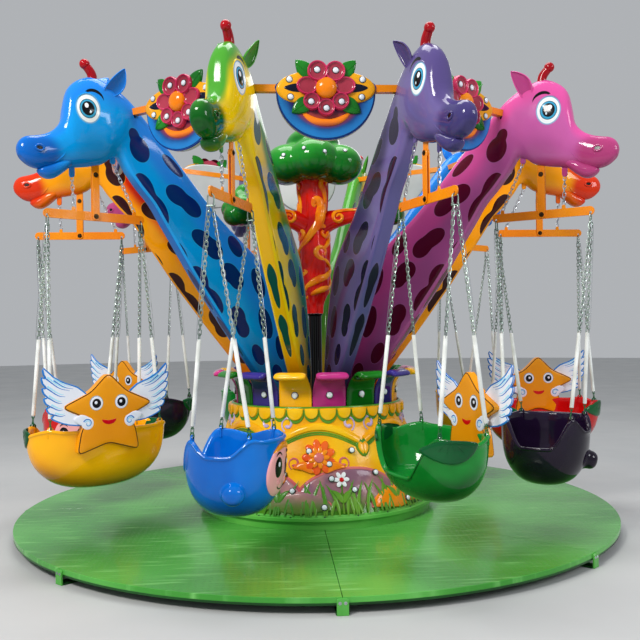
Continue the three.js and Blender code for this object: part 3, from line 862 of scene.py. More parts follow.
def drum_paints():
    gold = Paint("drum_gold", coat=0.5)
    z = gold.split(gold.place)[2]
    colour = gold.patches((0.94, 0.64, 0.03), (0.99, 0.76, 0.07), 3.2, 3.0, 0.35, 0.65)
    colour = gold.mix(gold.ramp(z, 0.848, 0.868), colour, (0.30, 0.55, 0.12))
    colour = gold.mix(gold.ramp(z, 0.42, 0.24), colour, (0.62, 0.44, 0.42))
    colour = gold.mix(gold.ramp(gold.plus(z, gold.times(gold.noise(14.0), 0.07)), 0.29, 0.235), colour,
                      (0.26, 0.50, 0.10))
    gold.finish(colour, (0.12, 0.28), 5.0, 0.2)
    hills = Paint("drum_hills", coat=0.5)
    z = hills.split(hills.place)[2]
    colour = hills.patches((0.52, 0.36, 0.44), (0.68, 0.47, 0.46), 5.0, 3.0, 0.35, 0.65)
    colour = hills.mix(hills.ramp(z, 0.33, 0.21), colour, (0.34, 0.46, 0.18))
    hills.finish(colour, (0.12, 0.28), 5.0, 0.2)
    edge_pink = gloss_paint("drum_edge", (0.72, 0.30, 0.34), (0.85, 0.47, 0.45), (0.1, 0.2))
    pale_green = gloss_paint("drum_flange", (0.30, 0.66, 0.24), (0.44, 0.76, 0.34), (0.12, 0.25))
    scallop_gold = gloss_paint("drum_scallop", (0.93, 0.60, 0.02), (0.99, 0.78, 0.10), (0.08, 0.2), 12.0)
    coral_red = gloss_paint("drum_coral", (0.86, 0.24, 0.08), (0.95, 0.42, 0.14), (0.08, 0.2), 12.0)
    pale_lilac = gloss_paint("drum_lilac", (0.66, 0.56, 0.78), (0.84, 0.76, 0.90), (0.08, 0.2), 12.0)
    return [gold.material, scallop_gold, GRASS, hills.material, edge_pink, TANGERINE, WHITE, LAMP,
            LAMP_RING, pale_green, GRASS, RED, coral_red, pale_lilac]


def drum():
    form = Form()
    inner_lip = [(0.6255, 0.873), (0.622, 0.868), (0.621, 0.8475), (0.56, 0.8472), (0.3, 0.8472),
                 (0.02, 0.8472)]
    form.grid([level_ring(r, z, 160) for r, z in [*DRUM_PROFILE, *inner_lip]], BODY)
    form.revolve([(0.80, 0.0903), (0.845, 0.0903), (0.845, 0.142), (0.850, 0.1455), (0.869, 0.1455),
                  (0.872, 0.149), (0.872, 0.168), (0.869, 0.172), (0.846, 0.1735), (0.838, 0.182),
                  (0.80, 0.182)], 160, FLANGE)
    for t in steps_round(24):
        form.bolt((0.8585 * math.cos(t), 0.8585 * math.sin(t), 0.1712), 0.0055, FLAT, RING)
    for add in (drum_scallops, drum_swags, drum_hills, drum_grass, drum_flowers, drum_blossoms, drum_lamps):
        add(form)
    paints = drum_paints()
    put("drum_housing", form.mesh("drum_housing"), paints, "base", ["drum"])


def crown():
    form = Form()
    middle = smooth_rows([(0.590, 0.8475), (0.592, 0.900), (0.595, 0.950), (0.606, 1.000), (0.636, 1.050),
                          (0.684, 1.084), (0.722, 1.087), (0.746, 1.074), (0.752, 1.062)], 3)
    count = len(middle)
    lip = 15
    for i in range(PETALS):
        turn = turned(math.tau * (i + 0.25) / PETALS - math.pi / 2)
        slot = i % 4
        rings = []
        for k, (r, z) in enumerate(middle):
            t = k / (count - 1)
            ahead = Vector(middle[min(k + 1, count - 1)] - middle[max(k - 1, 0)]).normalized()
            out = Vector((ahead.y, -ahead.x))
            half = 0.1150 - 0.012 * eased((t - 0.3) / 0.25) + 0.008 * eased((t - 0.6) / 0.2)
            half -= 0.030 * max(0, (t - 0.85) / 0.15) ** 2
            thick = 0.012 + 0.012 * eased((t - 0.56) / 0.16) - 0.010 * max(0, (t - 0.90) / 0.10) ** 2
            ring = []
            for a in steps_round(24):
                c, s = math.cos(a), math.sin(a)
                across = half * math.copysign(abs(c) ** 0.42, c)
                proud = thick * math.copysign(abs(s) ** 0.8, s)
                dish = 0.012 * (across / half) ** 2 * (0.4 - t)
                ring.append((r + out.x * (proud + dish), across, z + out.y * (proud + dish)))
            rings.append(ring)
        form.grid(rings[:lip + 1], slot, turn, caps=False)
        form.grid(rings[lip:], slot + 4, turn, caps=False)
        form.add(rings[0], [tuple(range(24))], slot, turn)
        form.add(rings[-1], [tuple(range(24))], slot + 4, turn)
        form.plate(circle(0, 0.950, 0.0255, 0.0255, 24), 0.602, 0.6125, 0.002, 9, turn @ FACING)
        form.cap((0, 0.950, 0.6125), 0.0205, turn @ FACING, 8, 9)
    form.revolve([(0.570, 0.8475), (0.586, 0.8475), (0.586, 0.868), (0.582, 0.872), (0.574, 0.872),
                  (0.570, 0.868)], 96, 0)
    shades = {
        "indigo": ((0.14, 0.11, 0.36), (0.20, 0.16, 0.48), (0.27, 0.22, 0.62)),
        "yellow": ((0.90, 0.58, 0.03), (0.97, 0.70, 0.08), (0.99, 0.78, 0.14)),
        "pink": ((0.56, 0.11, 0.38), (0.70, 0.18, 0.47), (0.91, 0.27, 0.61)),
        "green": ((0.02, 0.28, 0.05), (0.06, 0.40, 0.08), (0.13, 0.52, 0.14)),
    }
    order = ["pink", "green", "indigo", "yellow"]
    # Painted shade: each petal's wall takes the two darker tones of its colour, its rolled lip the two
    # lighter ones.
    shaded_walls = [gloss_paint("petal_" + name, shades[name][0], shades[name][1], (0.06, 0.16)) for name in order]
    lips = [gloss_paint("petal_lip_" + name, shades[name][1], shades[name][2], (0.04, 0.1))
            for name in order]
    put("crown_petals", form.mesh("crown_petals", 50), shaded_walls + lips + [LAMP, LAMP_RING], "base", ["crown"])


# Tree

def rounded_lumps(name, lumps, voxel):
    """One smooth cloud of several ellipsoids."""
    form = Form()
    for centre, radii in lumps:
        form.ellipsoid(centre, radii, 0, FLAT, 28, 18)
    made = linked(name, form.mesh(name))
    remesh = made.modifiers.new("remesh", "REMESH")
    remesh.mode = "VOXEL"
    remesh.voxel_size = voxel
    smooth = made.modifiers.new("smooth", "SMOOTH")
    smooth.factor, smooth.iterations = 0.7, 12
    mesh = bpy.data.meshes.new_from_object(made.evaluated_get(bpy.context.evaluated_depsgraph_get()))
    bpy.data.objects.remove(made)
    mesh.shade_smooth()
    return mesh


def foliage_paint():
    paint = Paint("foliage_green", coat=0.7)
    colour = paint.patches((0.03, 0.37, 0.09), (0.11, 0.53, 0.15), 3.5, low=0.35, high=0.65)
    up = paint.lean()
    # Painted highlight: lighter green where the leaves face up.
    colour = paint.mix(paint.ramp(up, 0.25, 0.95), colour, (0.28, 0.62, 0.24))
    # Painted shade: darker green where the leaves face down.
    colour = paint.mix(paint.ramp(up, 0.0, -1.0), colour, (0.03, 0.27, 0.07))
    return paint.finish(colour, (0.06, 0.16), 4.0, 0.06)


def canopy(green):
    """The big cloud of leaves on the trunk."""
    top = [((0, 0, CANOPY_Z + 0.01), (0.25, 0.25, 0.10)), ((0, 0, CANOPY_Z + 0.13), (0.21, 0.21, 0.15)),
           ((0.05, -0.06, CANOPY_Z + 0.20), (0.12, 0.12, 0.08))]
    for turn, r, z, size in ((-146, 0.228, -0.030, 0.178), (-92, 0.205, -0.005, 0.186),
                             (-36, 0.228, -0.035, 0.178), (25, 0.230, 0.005, 0.166),
                             (88, 0.215, -0.010, 0.178), (150, 0.230, 0.000, 0.170)):
        a = math.radians(turn)
        top.append(((r * math.cos(a), r * math.sin(a), CANOPY_Z + z), (size, size, 0.84 * size)))
    cloud = rounded_lumps("canopy_cloud", top, 0.012)
    put("canopy_cloud", cloud, [green], "rotor", ["leaves_top"])
    return cloud


def side_leaves(green):
    """A smaller cloud of leaves at the end of each branch."""
    for side, name in ((-1, "leaves_left"), (1, "leaves_right")):
        lumps = [((side * 0.56, 0, 2.30), (0.12, 0.12, 0.115)),
                 ((side * 0.62, 0.03, 2.32), (0.085, 0.085, 0.08)),
                 ((side * 0.53, -0.07, 2.33), (0.085, 0.08, 0.08)),
                 ((side * 0.52, 0.07, 2.28), (0.08, 0.08, 0.08)),
                 ((side * 0.60, -0.05, 2.26), (0.085, 0.08, 0.08)),
                 ((side * 0.55, 0, 2.38), (0.10, 0.10, 0.085)),
                 ((side * 0.52, 0.02, 2.45), (0.075, 0.08, 0.062))]
        put(name + "_cloud", rounded_lumps(name, lumps, 0.011), [green], "rotor", [name])


def canopy_lamps(cloud):
    form = Form()
    skin = BVHTree.FromPolygons([v.co for v in cloud.vertices], [tuple(p.vertices) for p in cloud.polygons])
    for turn, z in ((-128, 2.665), (-103, 2.70), (-80, 2.675), (-52, 2.70), (-90, 2.83), (-20, 2.66),
                    (15, 2.70), (60, 2.67), (100, 2.70), (140, 2.67), (180, 2.70), (-150, 2.70)):
        a = math.radians(turn)
        ahead = Vector((math.cos(a), math.sin(a), 0))
        point, normal = skin.ray_cast(ahead * 0.8 + Vector((0, 0, z)), -ahead)[:2]
        place = standing(point + 0.003 * normal, normal)
        form.plate(circle(0, 0, 0.0165), -0.012, 0.001, 0.002, 1, place)
        form.cap((0, 0, 0), 0.0125, place, 0, 1)
    put("canopy_lamps", form.mesh("canopy_lamps"), [LAMP, LAMP_RING], "rotor")


# The trunk's radii and heights
TRUNK = smooth_rows([(0.066, 1.520), (0.072, 1.590), (0.112, 1.700), (0.120, 1.850), (0.118, 2.000),
                     (0.104, 2.180), (0.104, 2.300), (0.112, 2.420), (0.124, 2.560)], 7)
# A branch's middle line, out from the axis and up
BRANCH = [(0.05, 2.190), (0.11, 2.222), (0.18, 2.242), (0.30, 2.268), (0.40, 2.282), (0.50, 2.295)]
# The radius that lengths round the trunk go by, and the length of one degree
TRUNK_GIRTH = 0.11
DEGREE = TRUNK_GIRTH * math.pi / 180


def trunk(form):
    """The trunk with its flutes."""
    rings = []
    for r, z in TRUNK:
        fluted = [(t, r + 0.008 * math.sin(5 * t + 7 * z) + 0.004 * math.sin(9 * t - 11 * z))
                  for t in steps_round(56)]
        rings.append([(far * math.cos(t), far * math.sin(t), z) for t, far in fluted])
    form.grid(rings, 0)


def on_branch(path, radii, side, face):
    """Places (u out from the axis, v height, h out) on one face of a branch."""
    reach = np.abs(path[:, 0])

    def place(u, v, h):
        middle, r = np.interp(u, reach, path[:, 2]), np.interp(u, reach, radii) + h
        return (side * u, face * math.sqrt(max(r * r - (v - middle) ** 2, 1e-5)), v)
    return place


def branches(form):
    """Two branches with a curl on each face."""
    for side in (-1, 1):
        path = smooth_rows([(side * x, 0, z) for x, z in BRANCH], 4)
        radii = np.interp(np.abs(path[:, 0]), (0.05, 0.11, 0.18, 0.30, 0.50),
                          (0.088, 0.080, 0.068, 0.054, 0.042))
        form.tube(path, radii, 24, 0)
        for face in (-1, 1):
            t = np.linspace(0, 1, 34)
            turns = 1.4 + 7.9 * t
            size = 0.050 * (1 - 0.76 * t)
            curl = np.stack([0.186 + size * np.cos(turns), 2.246 + size * np.sin(turns)], 1)
            lead = smooth_rows([(0.360, 2.296), (0.290, 2.303), (0.235, 2.303), tuple(curl[0])], 5)
            curl = np.vstack([lead[:-1], curl])
            width = 0.0150 * np.interp(np.linspace(0, 1, len(curl)), (0, 0.2, 0.8, 1), (0.5, 1, 0.8, 0.6))
            ridge(form, curl, width, on_branch(path, radii, side, face), 1, 1.0, 10)


def on_trunk(u, v, h):
    """Places (u along the girth, v height, h out) on the trunk."""
    r = float(np.interp(v, TRUNK[:, 1], TRUNK[:, 0])) + h
    return (r * math.sin(u / TRUNK_GIRTH), -r * math.cos(u / TRUNK_GIRTH), v)


# Each vine: places in degrees round the trunk and metres up it, and half widths along it
VINES = [
    ([(-85, 1.980), (-48, 2.040), (-9, 2.130), (18, 2.200), (27, 2.275), (30, 2.327), (15, 2.368),
      (0, 2.368), (-5, 2.337), (5, 2.322)], (0.012, 0.044, 0.013)),
    ([(26, 2.200), (44, 2.275), (58, 2.349)], (0.018, 0.020, 0.010)),
    ([(22, 2.172), (52, 2.175), (72, 2.135), (50, 2.098), (32, 2.120), (38, 2.142)], (0.016, 0.018, 0.010)),
    ([(54, 2.275), (52, 2.363), (40, 2.437), (26, 2.480), (30, 2.518), (50, 2.510), (47, 2.480)],
     (0.012, 0.021, 0.010)),
    ([(90, 1.847), (52, 1.906), (26, 1.928), (7.5, 1.958), (6, 1.995), (22, 2.017), (40, 1.995),
      (37, 1.962), (24, 1.965)], (0.010, 0.020, 0.010)),
    ([(90, 1.855), (50, 1.805), (0, 1.762), (-30, 1.722), (-50, 1.690)], (0.012, 0.029, 0.010)),
    ([(90, 1.725), (40, 1.705), (0, 1.678), (-45, 1.635)], (0.010, 0.025, 0.008)),
]


def vines(form):
    """Vines that climb the trunk, drawn three times round it."""
    for shift, rise in ((0, 0.0), (122, 0.03), (241, -0.02)):
        for stem, widths in VINES:
            rows = smooth_rows(stem, 7)
            rows = np.stack([(rows[:, 0] + shift) * DEGREE, rows[:, 1] + rise], 1)
            share = np.linspace(0, 1, len(rows))
            ridge(form, rows, np.interp(share, (0, 0.4, 1), widths), on_trunk, 1, 0.75, 10)


def tree():
    green = foliage_paint()
    cloud = canopy(green)
    side_leaves(green)
    canopy_lamps(cloud)
    form = Form()
    trunk(form)
    branches(form)
    vines(form)
    red = Paint("trunk_red", coat=0.7)
    colour = red.patches((0.72, 0.04, 0.03), (0.92, 0.12, 0.06), 6.0, 3.0, 0.35, 0.65)
    red.finish(colour, (0.06, 0.16), 5.0, 0.2)
    vine = Paint("vine_orange", coat=0.7)
    colour = vine.patches((0.92, 0.40, 0.02), (0.98, 0.60, 0.05), 9.0, 2.0, 0.35, 0.65)
    vine.finish(colour, (0.06, 0.16), 5.0, 0.1)
    put("trunk_with_vines", form.mesh("trunk_with_vines"), [red.material, vine.material], "rotor",
        ["trunk"])


# Ring of tie bars and flowers

# A tie bar's middle and its disc's front, out from the axis, and the flower's middle from the bar's
RING_FLAT = RING_R * math.cos(STEP / 2)
DISC_FRONT = RING_FLAT - 0.02 + 0.046
FLOWER_Z = -0.008


class Disc:
    """Slots of the flower ring's paints."""
    steel, bowl, edge, smile, loop, slot_dark, rim, petal, dome, leaf, lens, ring, pale = range(13)


def disc_plates(form, place, back):
    """The pale back, the blue bowl and the orange smile."""
    outline = circle(0, -0.025, 0.289, 0.276, 40, math.pi, math.tau)
    outline += circle(0, 0, 0.297, 0.086, 30, 0, math.pi)
    form.plate(outline, RING_FLAT - 0.020, DISC_FRONT - 0.013, 0.008, Disc.pale, back)
    form.plate(outline, DISC_FRONT - 0.014, DISC_FRONT - 0.003, 0.003, Disc.edge, back)
    inner = [(0.965 * u, -0.01 + 0.965 * (v + 0.01)) for u, v in outline]
    relief(form, inner, 0.004, place, Disc.bowl, 0.006)
    s = np.linspace(-1, 1, 31)
    path = [(0.158 * math.sin(1.25 * a), -0.076 - 0.128 * math.cos(1.25 * a)) for a in s]
    ridge(form, path, 0.024 * np.clip(1 - np.abs(s) ** 2.4, 0.06, 1), place, Disc.smile, 0.6, 10)


def disc_wings(form, place, back):
    """A looped wing on each side, with a dark blue plate in its opening as painted shade, and two lamps."""
    for side in (-1, 1):
        wing = smooth_loop(mirrored([(0.120, 0.088), (0.190, 0.078), (0.255, 0.046), (0.288, -0.006),
                                     (0.262, -0.056), (0.200, -0.086), (0.130, -0.080), (0.105, 0.010)],
                                     side), 5)
        relief(form, wing, 0.017, place, Disc.loop)
        hole = smooth_loop(mirrored([(0.130, 0.018), (0.195, 0.020), (0.252, -0.004), (0.200, -0.030),
                                     (0.130, -0.030)], side), 6)
        # Painted shade: the dark plate stands for the shaded inside of the loop's opening.
        relief(form, hole, 0.0195, place, Disc.slot_dark)
        for u, v in ((side * 0.212, 0.043), (side * 0.206, -0.058)):
            form.cap((u, v, DISC_FRONT + 0.0175), 0.0165, back, Disc.lens, Disc.ring)


def disc_leaves(form, place):
    """Leaves round the flower, each with a vein."""
    for degrees, tilt, far in ((40, 46, 0.098), (140, 134, 0.098), (-35, -35, 0.100), (-145, -145, 0.100)):
        a = math.radians(degrees)
        start = (far * math.cos(a), FLOWER_Z + far * math.sin(a))
        relief(form, leaf_outline(*start, 0.145, 0.047, tilt), 0.021, place, Disc.leaf)
        vein = [(start[0] + 0.13 * t * math.cos(a), start[1] + 0.13 * t * math.sin(a))
                for t in np.linspace(0, 1, 7)]
        ridge(form, vein, 0.0035, above(place, 0.021), Disc.leaf, 1.0, 6)


def disc_petals(form, place, back):
    """Seven cupped petals, five with a lamp."""
    relief(form, shifted(circle(0, 0, 0.132, 0.128, 32), 0, 0.004), 0.020, place, Disc.petal)
    petals = [(-90, 0.110, 0.050, 0.052, 0.036, True), (-42, 0.112, 0.050, 0.052, 0.039, True),
              (-138, 0.112, 0.050, 0.052, 0.039, True), (7, 0.109, 0.064, 0.053, 0.037, False),
              (173, 0.109, 0.064, 0.053, 0.037, False), (61, 0.108, 0.061, 0.060, 0.046, True),
              (117, 0.108, 0.061, 0.060, 0.049, True)]
    for degrees, distance, radial, wide, lift, lamp in petals:
        a = math.radians(degrees)
        c, s = math.cos(a), math.sin(a)
        shape = [(c * (distance + x) - s * y, FLOWER_Z + s * (distance + x) + c * y)
                 for x, y in circle(0, 0, radial, wide, 22)]
        cup(form, shape, lift, place, Disc.rim, Disc.petal)
        if lamp:
            form.cap((c * distance * 1.06, FLOWER_Z + s * distance * 1.06, DISC_FRONT + 0.72 * lift),
                     0.0170, back, Disc.lens, Disc.ring)


def disc_middle(form, place):
    """The dome in the middle of the flower."""
    rings = [[place(0.064 * math.cos(t), FLOWER_Z + 0.064 * math.sin(t), 0.004) for t in steps_round(28)]]
    for b in np.linspace(0, math.pi / 2, 8)[:-1]:
        rings.append([place(0.061 * math.cos(b) * math.cos(t), FLOWER_Z + 0.061 * math.cos(b) * math.sin(t),
                            0.032 + 0.036 * math.sin(b)) for t in steps_round(28)])
    form.grid(rings, Disc.dome)


def bowl_blue():
    """Blue with a dark edge, an orange glow over the smile and purple behind the flower."""
    blue = Paint("bowl_blue", coat=0.6)
    x, y, z = blue.split(blue.place)
    out = blue.math("SQRT", blue.plus(blue.times(x, x), blue.times(y, y)))
    across = blue.math("MAXIMUM", blue.minus(blue.times(out, out), DISC_FRONT * DISC_FRONT), 0.0)
    across = blue.math("SQRT", across)
    sway = blue.times(blue.minus(blue.noise(8.0), 0.5), 0.12)
    plane = blue.plane(across, z)
    whole = blue.plus(blue.blob(plane, (0, RING_Z - 0.025), (0.289, 0.276)), sway)
    colour = blue.mix(blue.ramp(whole, 0.78, 1.0), (0.06, 0.12, 0.38), (0.13, 0.47, 0.75))
    glow = blue.math("ABSOLUTE", blue.minus(blue.blob(plane, (0, RING_Z - 0.076), (0.158, 0.128)), 1.0))
    glow = blue.times(blue.ramp(glow, 0.48, 0.14), blue.ramp(z, RING_Z - 0.11, RING_Z - 0.16))
    colour = blue.mix(blue.times(glow, 0.85), colour, (0.72, 0.27, 0.10))
    near = blue.plus(blue.blob(plane, (0, RING_Z - 0.02), (0.24, 0.18)), sway)
    colour = blue.mix(blue.ramp(near, 1.12, 0.72), colour, (0.26, 0.08, 0.26))
    return blue.finish(colour, (0.08, 0.2), 4.0, 0.1)


def bowl_smile():
    orange = Paint("bowl_smile", coat=0.6)
    z = orange.split(orange.place)[2]
    colour = orange.mix(orange.ramp(z, RING_Z - 0.235, RING_Z - 0.19), (0.60, 0.20, 0.20),
                        (0.94, 0.50, 0.10))
    return orange.finish(colour, (0.08, 0.2), 4.0, 0.1)


def flower_ring():
    form = Form()
    long = RING_R * math.sin(STEP / 2) - 0.046
    half = 0.021
    section = rectangle(RING_FLAT - half, RING_Z - half, RING_FLAT + half, RING_Z + half)
    for i in range(STATIONS):
        turn = turned(STEP * i - math.pi / 2)
        back = turn @ FACING @ moved(0, RING_Z, 0)
        form.plate(section, -long, long, 0.003, Disc.steel, turn @ RADIAL)

        def place(u, v, h, turn=turn):
            return turn @ Vector((DISC_FRONT + h, u, RING_Z + v))
        disc_plates(form, place, back)
        disc_wings(form, place, back)
        disc_leaves(form, place)
        disc_petals(form, place, back)
        disc_middle(form, place)
    blue, orange = bowl_blue(), bowl_smile()
    ochre = gloss_paint("bowl_loop", (0.86, 0.57, 0.05), (0.95, 0.70, 0.11), (0.1, 0.2))
    rim_blue = gloss_paint("bowl_rim", (0.04, 0.16, 0.42), (0.08, 0.26, 0.58), (0.1, 0.2))
    # Painted shade for the wings' openings.
    deep = gloss_paint("wing_opening_shade", (0.015, 0.03, 0.10), (0.04, 0.07, 0.20), (0.08, 0.16))
    materials = [ORANGE_STEEL, blue, rim_blue, orange, ochre, deep, PINK, ROSE, TANGERINE, LEAF_GREEN,
                 LAMP, LAMP_RING, PALE_BACK]
    put("ring_of_flowers", form.mesh("ring_of_flowers", 45), materials, "rotor", ["flower_ring"])


platform()
turntable()
pole()
drum()
crown()
tree()
flower_ring()


# Giraffes: necks and heads lofted between an underside and a back line

# Underside x and z, back x and z, half width, roundness, in metres in a station's upright plane
NECK_ROWS = [
    (0.430, 0.8925, 0.258, 0.8925, 0.055, 0), (0.478, 0.990, 0.262, 1.050, 0.055, 0),
    (0.560, 1.090, 0.288, 1.250, 0.055, 0), (0.690, 1.258, 0.330, 1.450, 0.055, 0),
    (0.815, 1.421, 0.396, 1.650, 0.055, 0), (0.935, 1.585, 0.500, 1.872, 0.055, 0),
    (1.052, 1.745, 0.650, 2.012, 0.055, 0), (1.180, 1.940, 0.816, 2.148, 0.055, 0),
    (1.290, 2.106, 0.955, 2.285, 0.055, 0), (1.371, 2.229, 1.082, 2.425, 0.055, 0),
    (1.460, 2.324, 1.228, 2.585, 0.055, 0.05), (1.545, 2.425, 1.372, 2.733, 0.058, 0.3),
    (1.600, 2.500, 1.470, 2.832, 0.068, 0.7), (1.650, 2.492, 1.530, 2.886, 0.080, 1),
    (1.705, 2.452, 1.598, 2.930, 0.087, 1), (1.765, 2.434, 1.682, 2.968, 0.090, 1),
    (1.822, 2.420, 1.778, 2.985, 0.090, 1), (1.866, 2.413, 1.866, 2.948, 0.087, 1),
    (1.898, 2.408, 1.925, 2.885, 0.081, 1), (1.924, 2.405, 1.949, 2.790, 0.073, 1),
    (1.950, 2.408, 1.966, 2.690, 0.067, 1), (1.986, 2.408, 2.010, 2.628, 0.063, 1),
    (2.022, 2.396, 2.068, 2.592, 0.062, 1), (2.056, 2.385, 2.128, 2.574, 0.063, 1),
    (2.092, 2.378, 2.182, 2.562, 0.063, 1), (2.130, 2.380, 2.216, 2.536, 0.058, 1),
    (2.165, 2.392, 2.233, 2.494, 0.046, 1), (2.192, 2.412, 2.226, 2.452, 0.028, 1),
    (2.206, 2.430, 2.212, 2.436, 0.010, 1),
]
LIP_ROWS = [
    (1.895, 2.425, 1.912, 2.456, 0.030, 1), (1.925, 2.400, 1.945, 2.454, 0.050, 1),
    (1.968, 2.362, 1.988, 2.444, 0.056, 1), (2.010, 2.333, 2.035, 2.420, 0.054, 1),
    (2.044, 2.324, 2.066, 2.406, 0.052, 1), (2.074, 2.330, 2.092, 2.394, 0.044, 1),
    (2.097, 2.345, 2.106, 2.381, 0.030, 1), (2.111, 2.358, 2.114, 2.372, 0.010, 1),
]
EYE = (1.826, 2.765)
NOSTRIL = (2.118, 2.492)

# Spots on the sides: centre x and z, two radii, turn in degrees
SPOTS = [
    (1.518, 2.656, 0.040, 0.034, 60), (1.474, 2.566, 0.086, 0.066, 60),
    (1.235, 2.490, 0.098, 0.034, 41),
    (1.440, 2.334, 0.092, 0.056, 55), (1.345, 2.180, 0.112, 0.066, 62),
    (1.208, 2.300, 0.086, 0.060, 30), (1.100, 2.232, 0.090, 0.056, 38),
    (1.015, 2.020, 0.092, 0.054, 30), (0.925, 1.955, 0.080, 0.060, 40),
    (1.185, 1.925, 0.084, 0.036, 56),
    (0.752, 1.985, 0.084, 0.046, 55), (1.045, 1.755, 0.090, 0.062, 55), (0.925, 1.600, 0.100, 0.052, 55),
    (0.800, 1.800, 0.080, 0.064, 30), (0.740, 1.745, 0.062, 0.054, 60),
    (0.560, 1.735, 0.110, 0.048, 68), (0.735, 1.500, 0.076, 0.058, 60), (0.695, 1.410, 0.064, 0.052, 60),
    (0.500, 1.450, 0.118, 0.054, 72), (0.565, 1.225, 0.084, 0.046, 60), (0.375, 1.270, 0.090, 0.036, 78),
    (0.400, 1.085, 0.070, 0.046, 70),
]
# Slots on the flat front strip: distance along the neck, half length, half width
STRIP_SLOTS = [(0.62, 0.18, 0.023), (0.71, 0.085, 0.031), (1.03, 0.17, 0.023), (1.11, 0.085, 0.031)]


def half_section(length, half):
    """Half of a neck's section, as distances from the front and half widths, with a round back."""
    bevel, back = 0.014, 0.064
    strip = half - bevel
    back = min(back, length - bevel - 0.02)
    points = [(0, 0), (0, 0.5 * strip), (0, strip - 0.002), (0.002, strip + 0.001),
              (0.5 * bevel, half - 0.5 * bevel), (bevel - 0.002, half - 0.001), (bevel + 0.002, half)]
    points += [(bevel + 0.002 + t * (length - back - bevel - 0.002), half)
               for t in np.linspace(0, 1, 8)[1:]]
    points += [(length - back + back * math.sin(a), half * math.cos(a))
               for a in np.linspace(0, math.pi / 2, 9)[1:]]
    return points


def loft(form, rows, steps, slot, bulge=None):
    rings, plan = [], []
    before, travelled = None, 0.0
    for xb, zb, xt, zt, half, roundness in smooth_rows(rows, steps):
        length = math.hypot(xt - xb, zt - zb)
        roundness = min(max(roundness, 0), 1)
        middle = Vector(((xb + xt) / 2, (zb + zt) / 2))
        travelled += (middle - before).length if before is not None else 0.0
        before = middle
        flat = half_section(length, half) if roundness < 1 else None
        count = 22
        section = []
        for k in range(count):
            a = math.pi * k / (count - 1)
            c, s = math.cos(a), math.sin(a)
            egg = (length * (0.5 - 0.5 * math.copysign(abs(c) ** 0.92, c)), half * abs(s) ** 0.88)
            if flat is None:
                section.append(egg)
            else:
                section.append(tuple(f * (1 - roundness) + e * roundness for f, e in zip(flat[k], egg)))
        round_it = section + [(p, -q) for p, q in section[-2:0:-1]]
        walk = np.concatenate([[0], np.cumsum([math.dist(a, b) for a, b in zip(section, section[1:])])])
        walk = list(walk) + list(walk[-2:0:-1])
        ring = []
        for (p, q), away in zip(round_it, walk):
            x, z = xb + (xt - xb) * p / length, zb + (zt - zb) * p / length
            if bulge:
                q = bulge(x, q, z)
            ring.append((x, q, z))
            plan.append((travelled, away, p / length))
        rings.append(ring)
    form.grid(rings, slot, plan=plan)


def head_bulge(x, y, z):
    """The eye stands a little proud of the cheek."""
    d = math.hypot((x - EYE[0]) / 0.085, (z - EYE[1]) / 0.095)
    return y + math.copysign(0.006 * (1 - eased(d)), y) if abs(y) > 0.02 else y


def ear(form, side, outer, inner):
    """An upright leaf-shaped ear, hollow on its outer side."""
    base = Vector((1.690, side * 0.060, 2.882))
    tip = Vector((1.600, side * 0.118, 3.042))
    up = (tip - base).normalized()
    ahead = Vector((-0.10, side * 1.0, 0.10))
    ahead = (ahead - up * ahead.dot(up)).normalized()
    across = up.cross(ahead)
    shell, lining = [], []
    turns = np.linspace(0, math.pi, 17)
    for t in np.linspace(0, 1, 18):
        width = max(0.050 * (math.sin(math.pi * min(t * 0.84 + 0.16, 1)) ** 0.75) * (1 - 0.12 * t), 0.002)
        at = base + (tip - base) * t + across * (0.016 * math.sin(math.pi * t))
        shell.append([at + across * (width * math.cos(a)) - ahead * (0.62 * width * math.sin(a))
                      for a in turns])
        lining.append([at + across * (width * math.cos(a)) - ahead * (0.34 * width * math.sin(a))
                       for a in turns])
    form.grid(shell, outer, around=False)
    form.grid(lining, inner, around=False)
    for edge in (0, -1):
        form.tube([row[edge] for row in shell],
                  [max(0.0055 * (1 - 0.5 * k / 17), 0.002) for k in range(18)], 8, outer)
    form.grid([shell[-1] + lining[-1][-2:0:-1], [tip + up * 0.003] * 32], outer)


def surface_finder(form):
    """Finds the point and normal of the side surface at (x, z) of the faces gathered so far."""
    tree = BVHTree.FromPolygons([Vector(p) for p in form.points], form.faces)

    def find(x, z, side):
        hit = tree.ray_cast(Vector((x, side * 0.4, z)), Vector((0, -side, 0)))
        normal = hit[1] if hit[1].y * side > 0 else -hit[1]
        return hit[0], normal
    return find


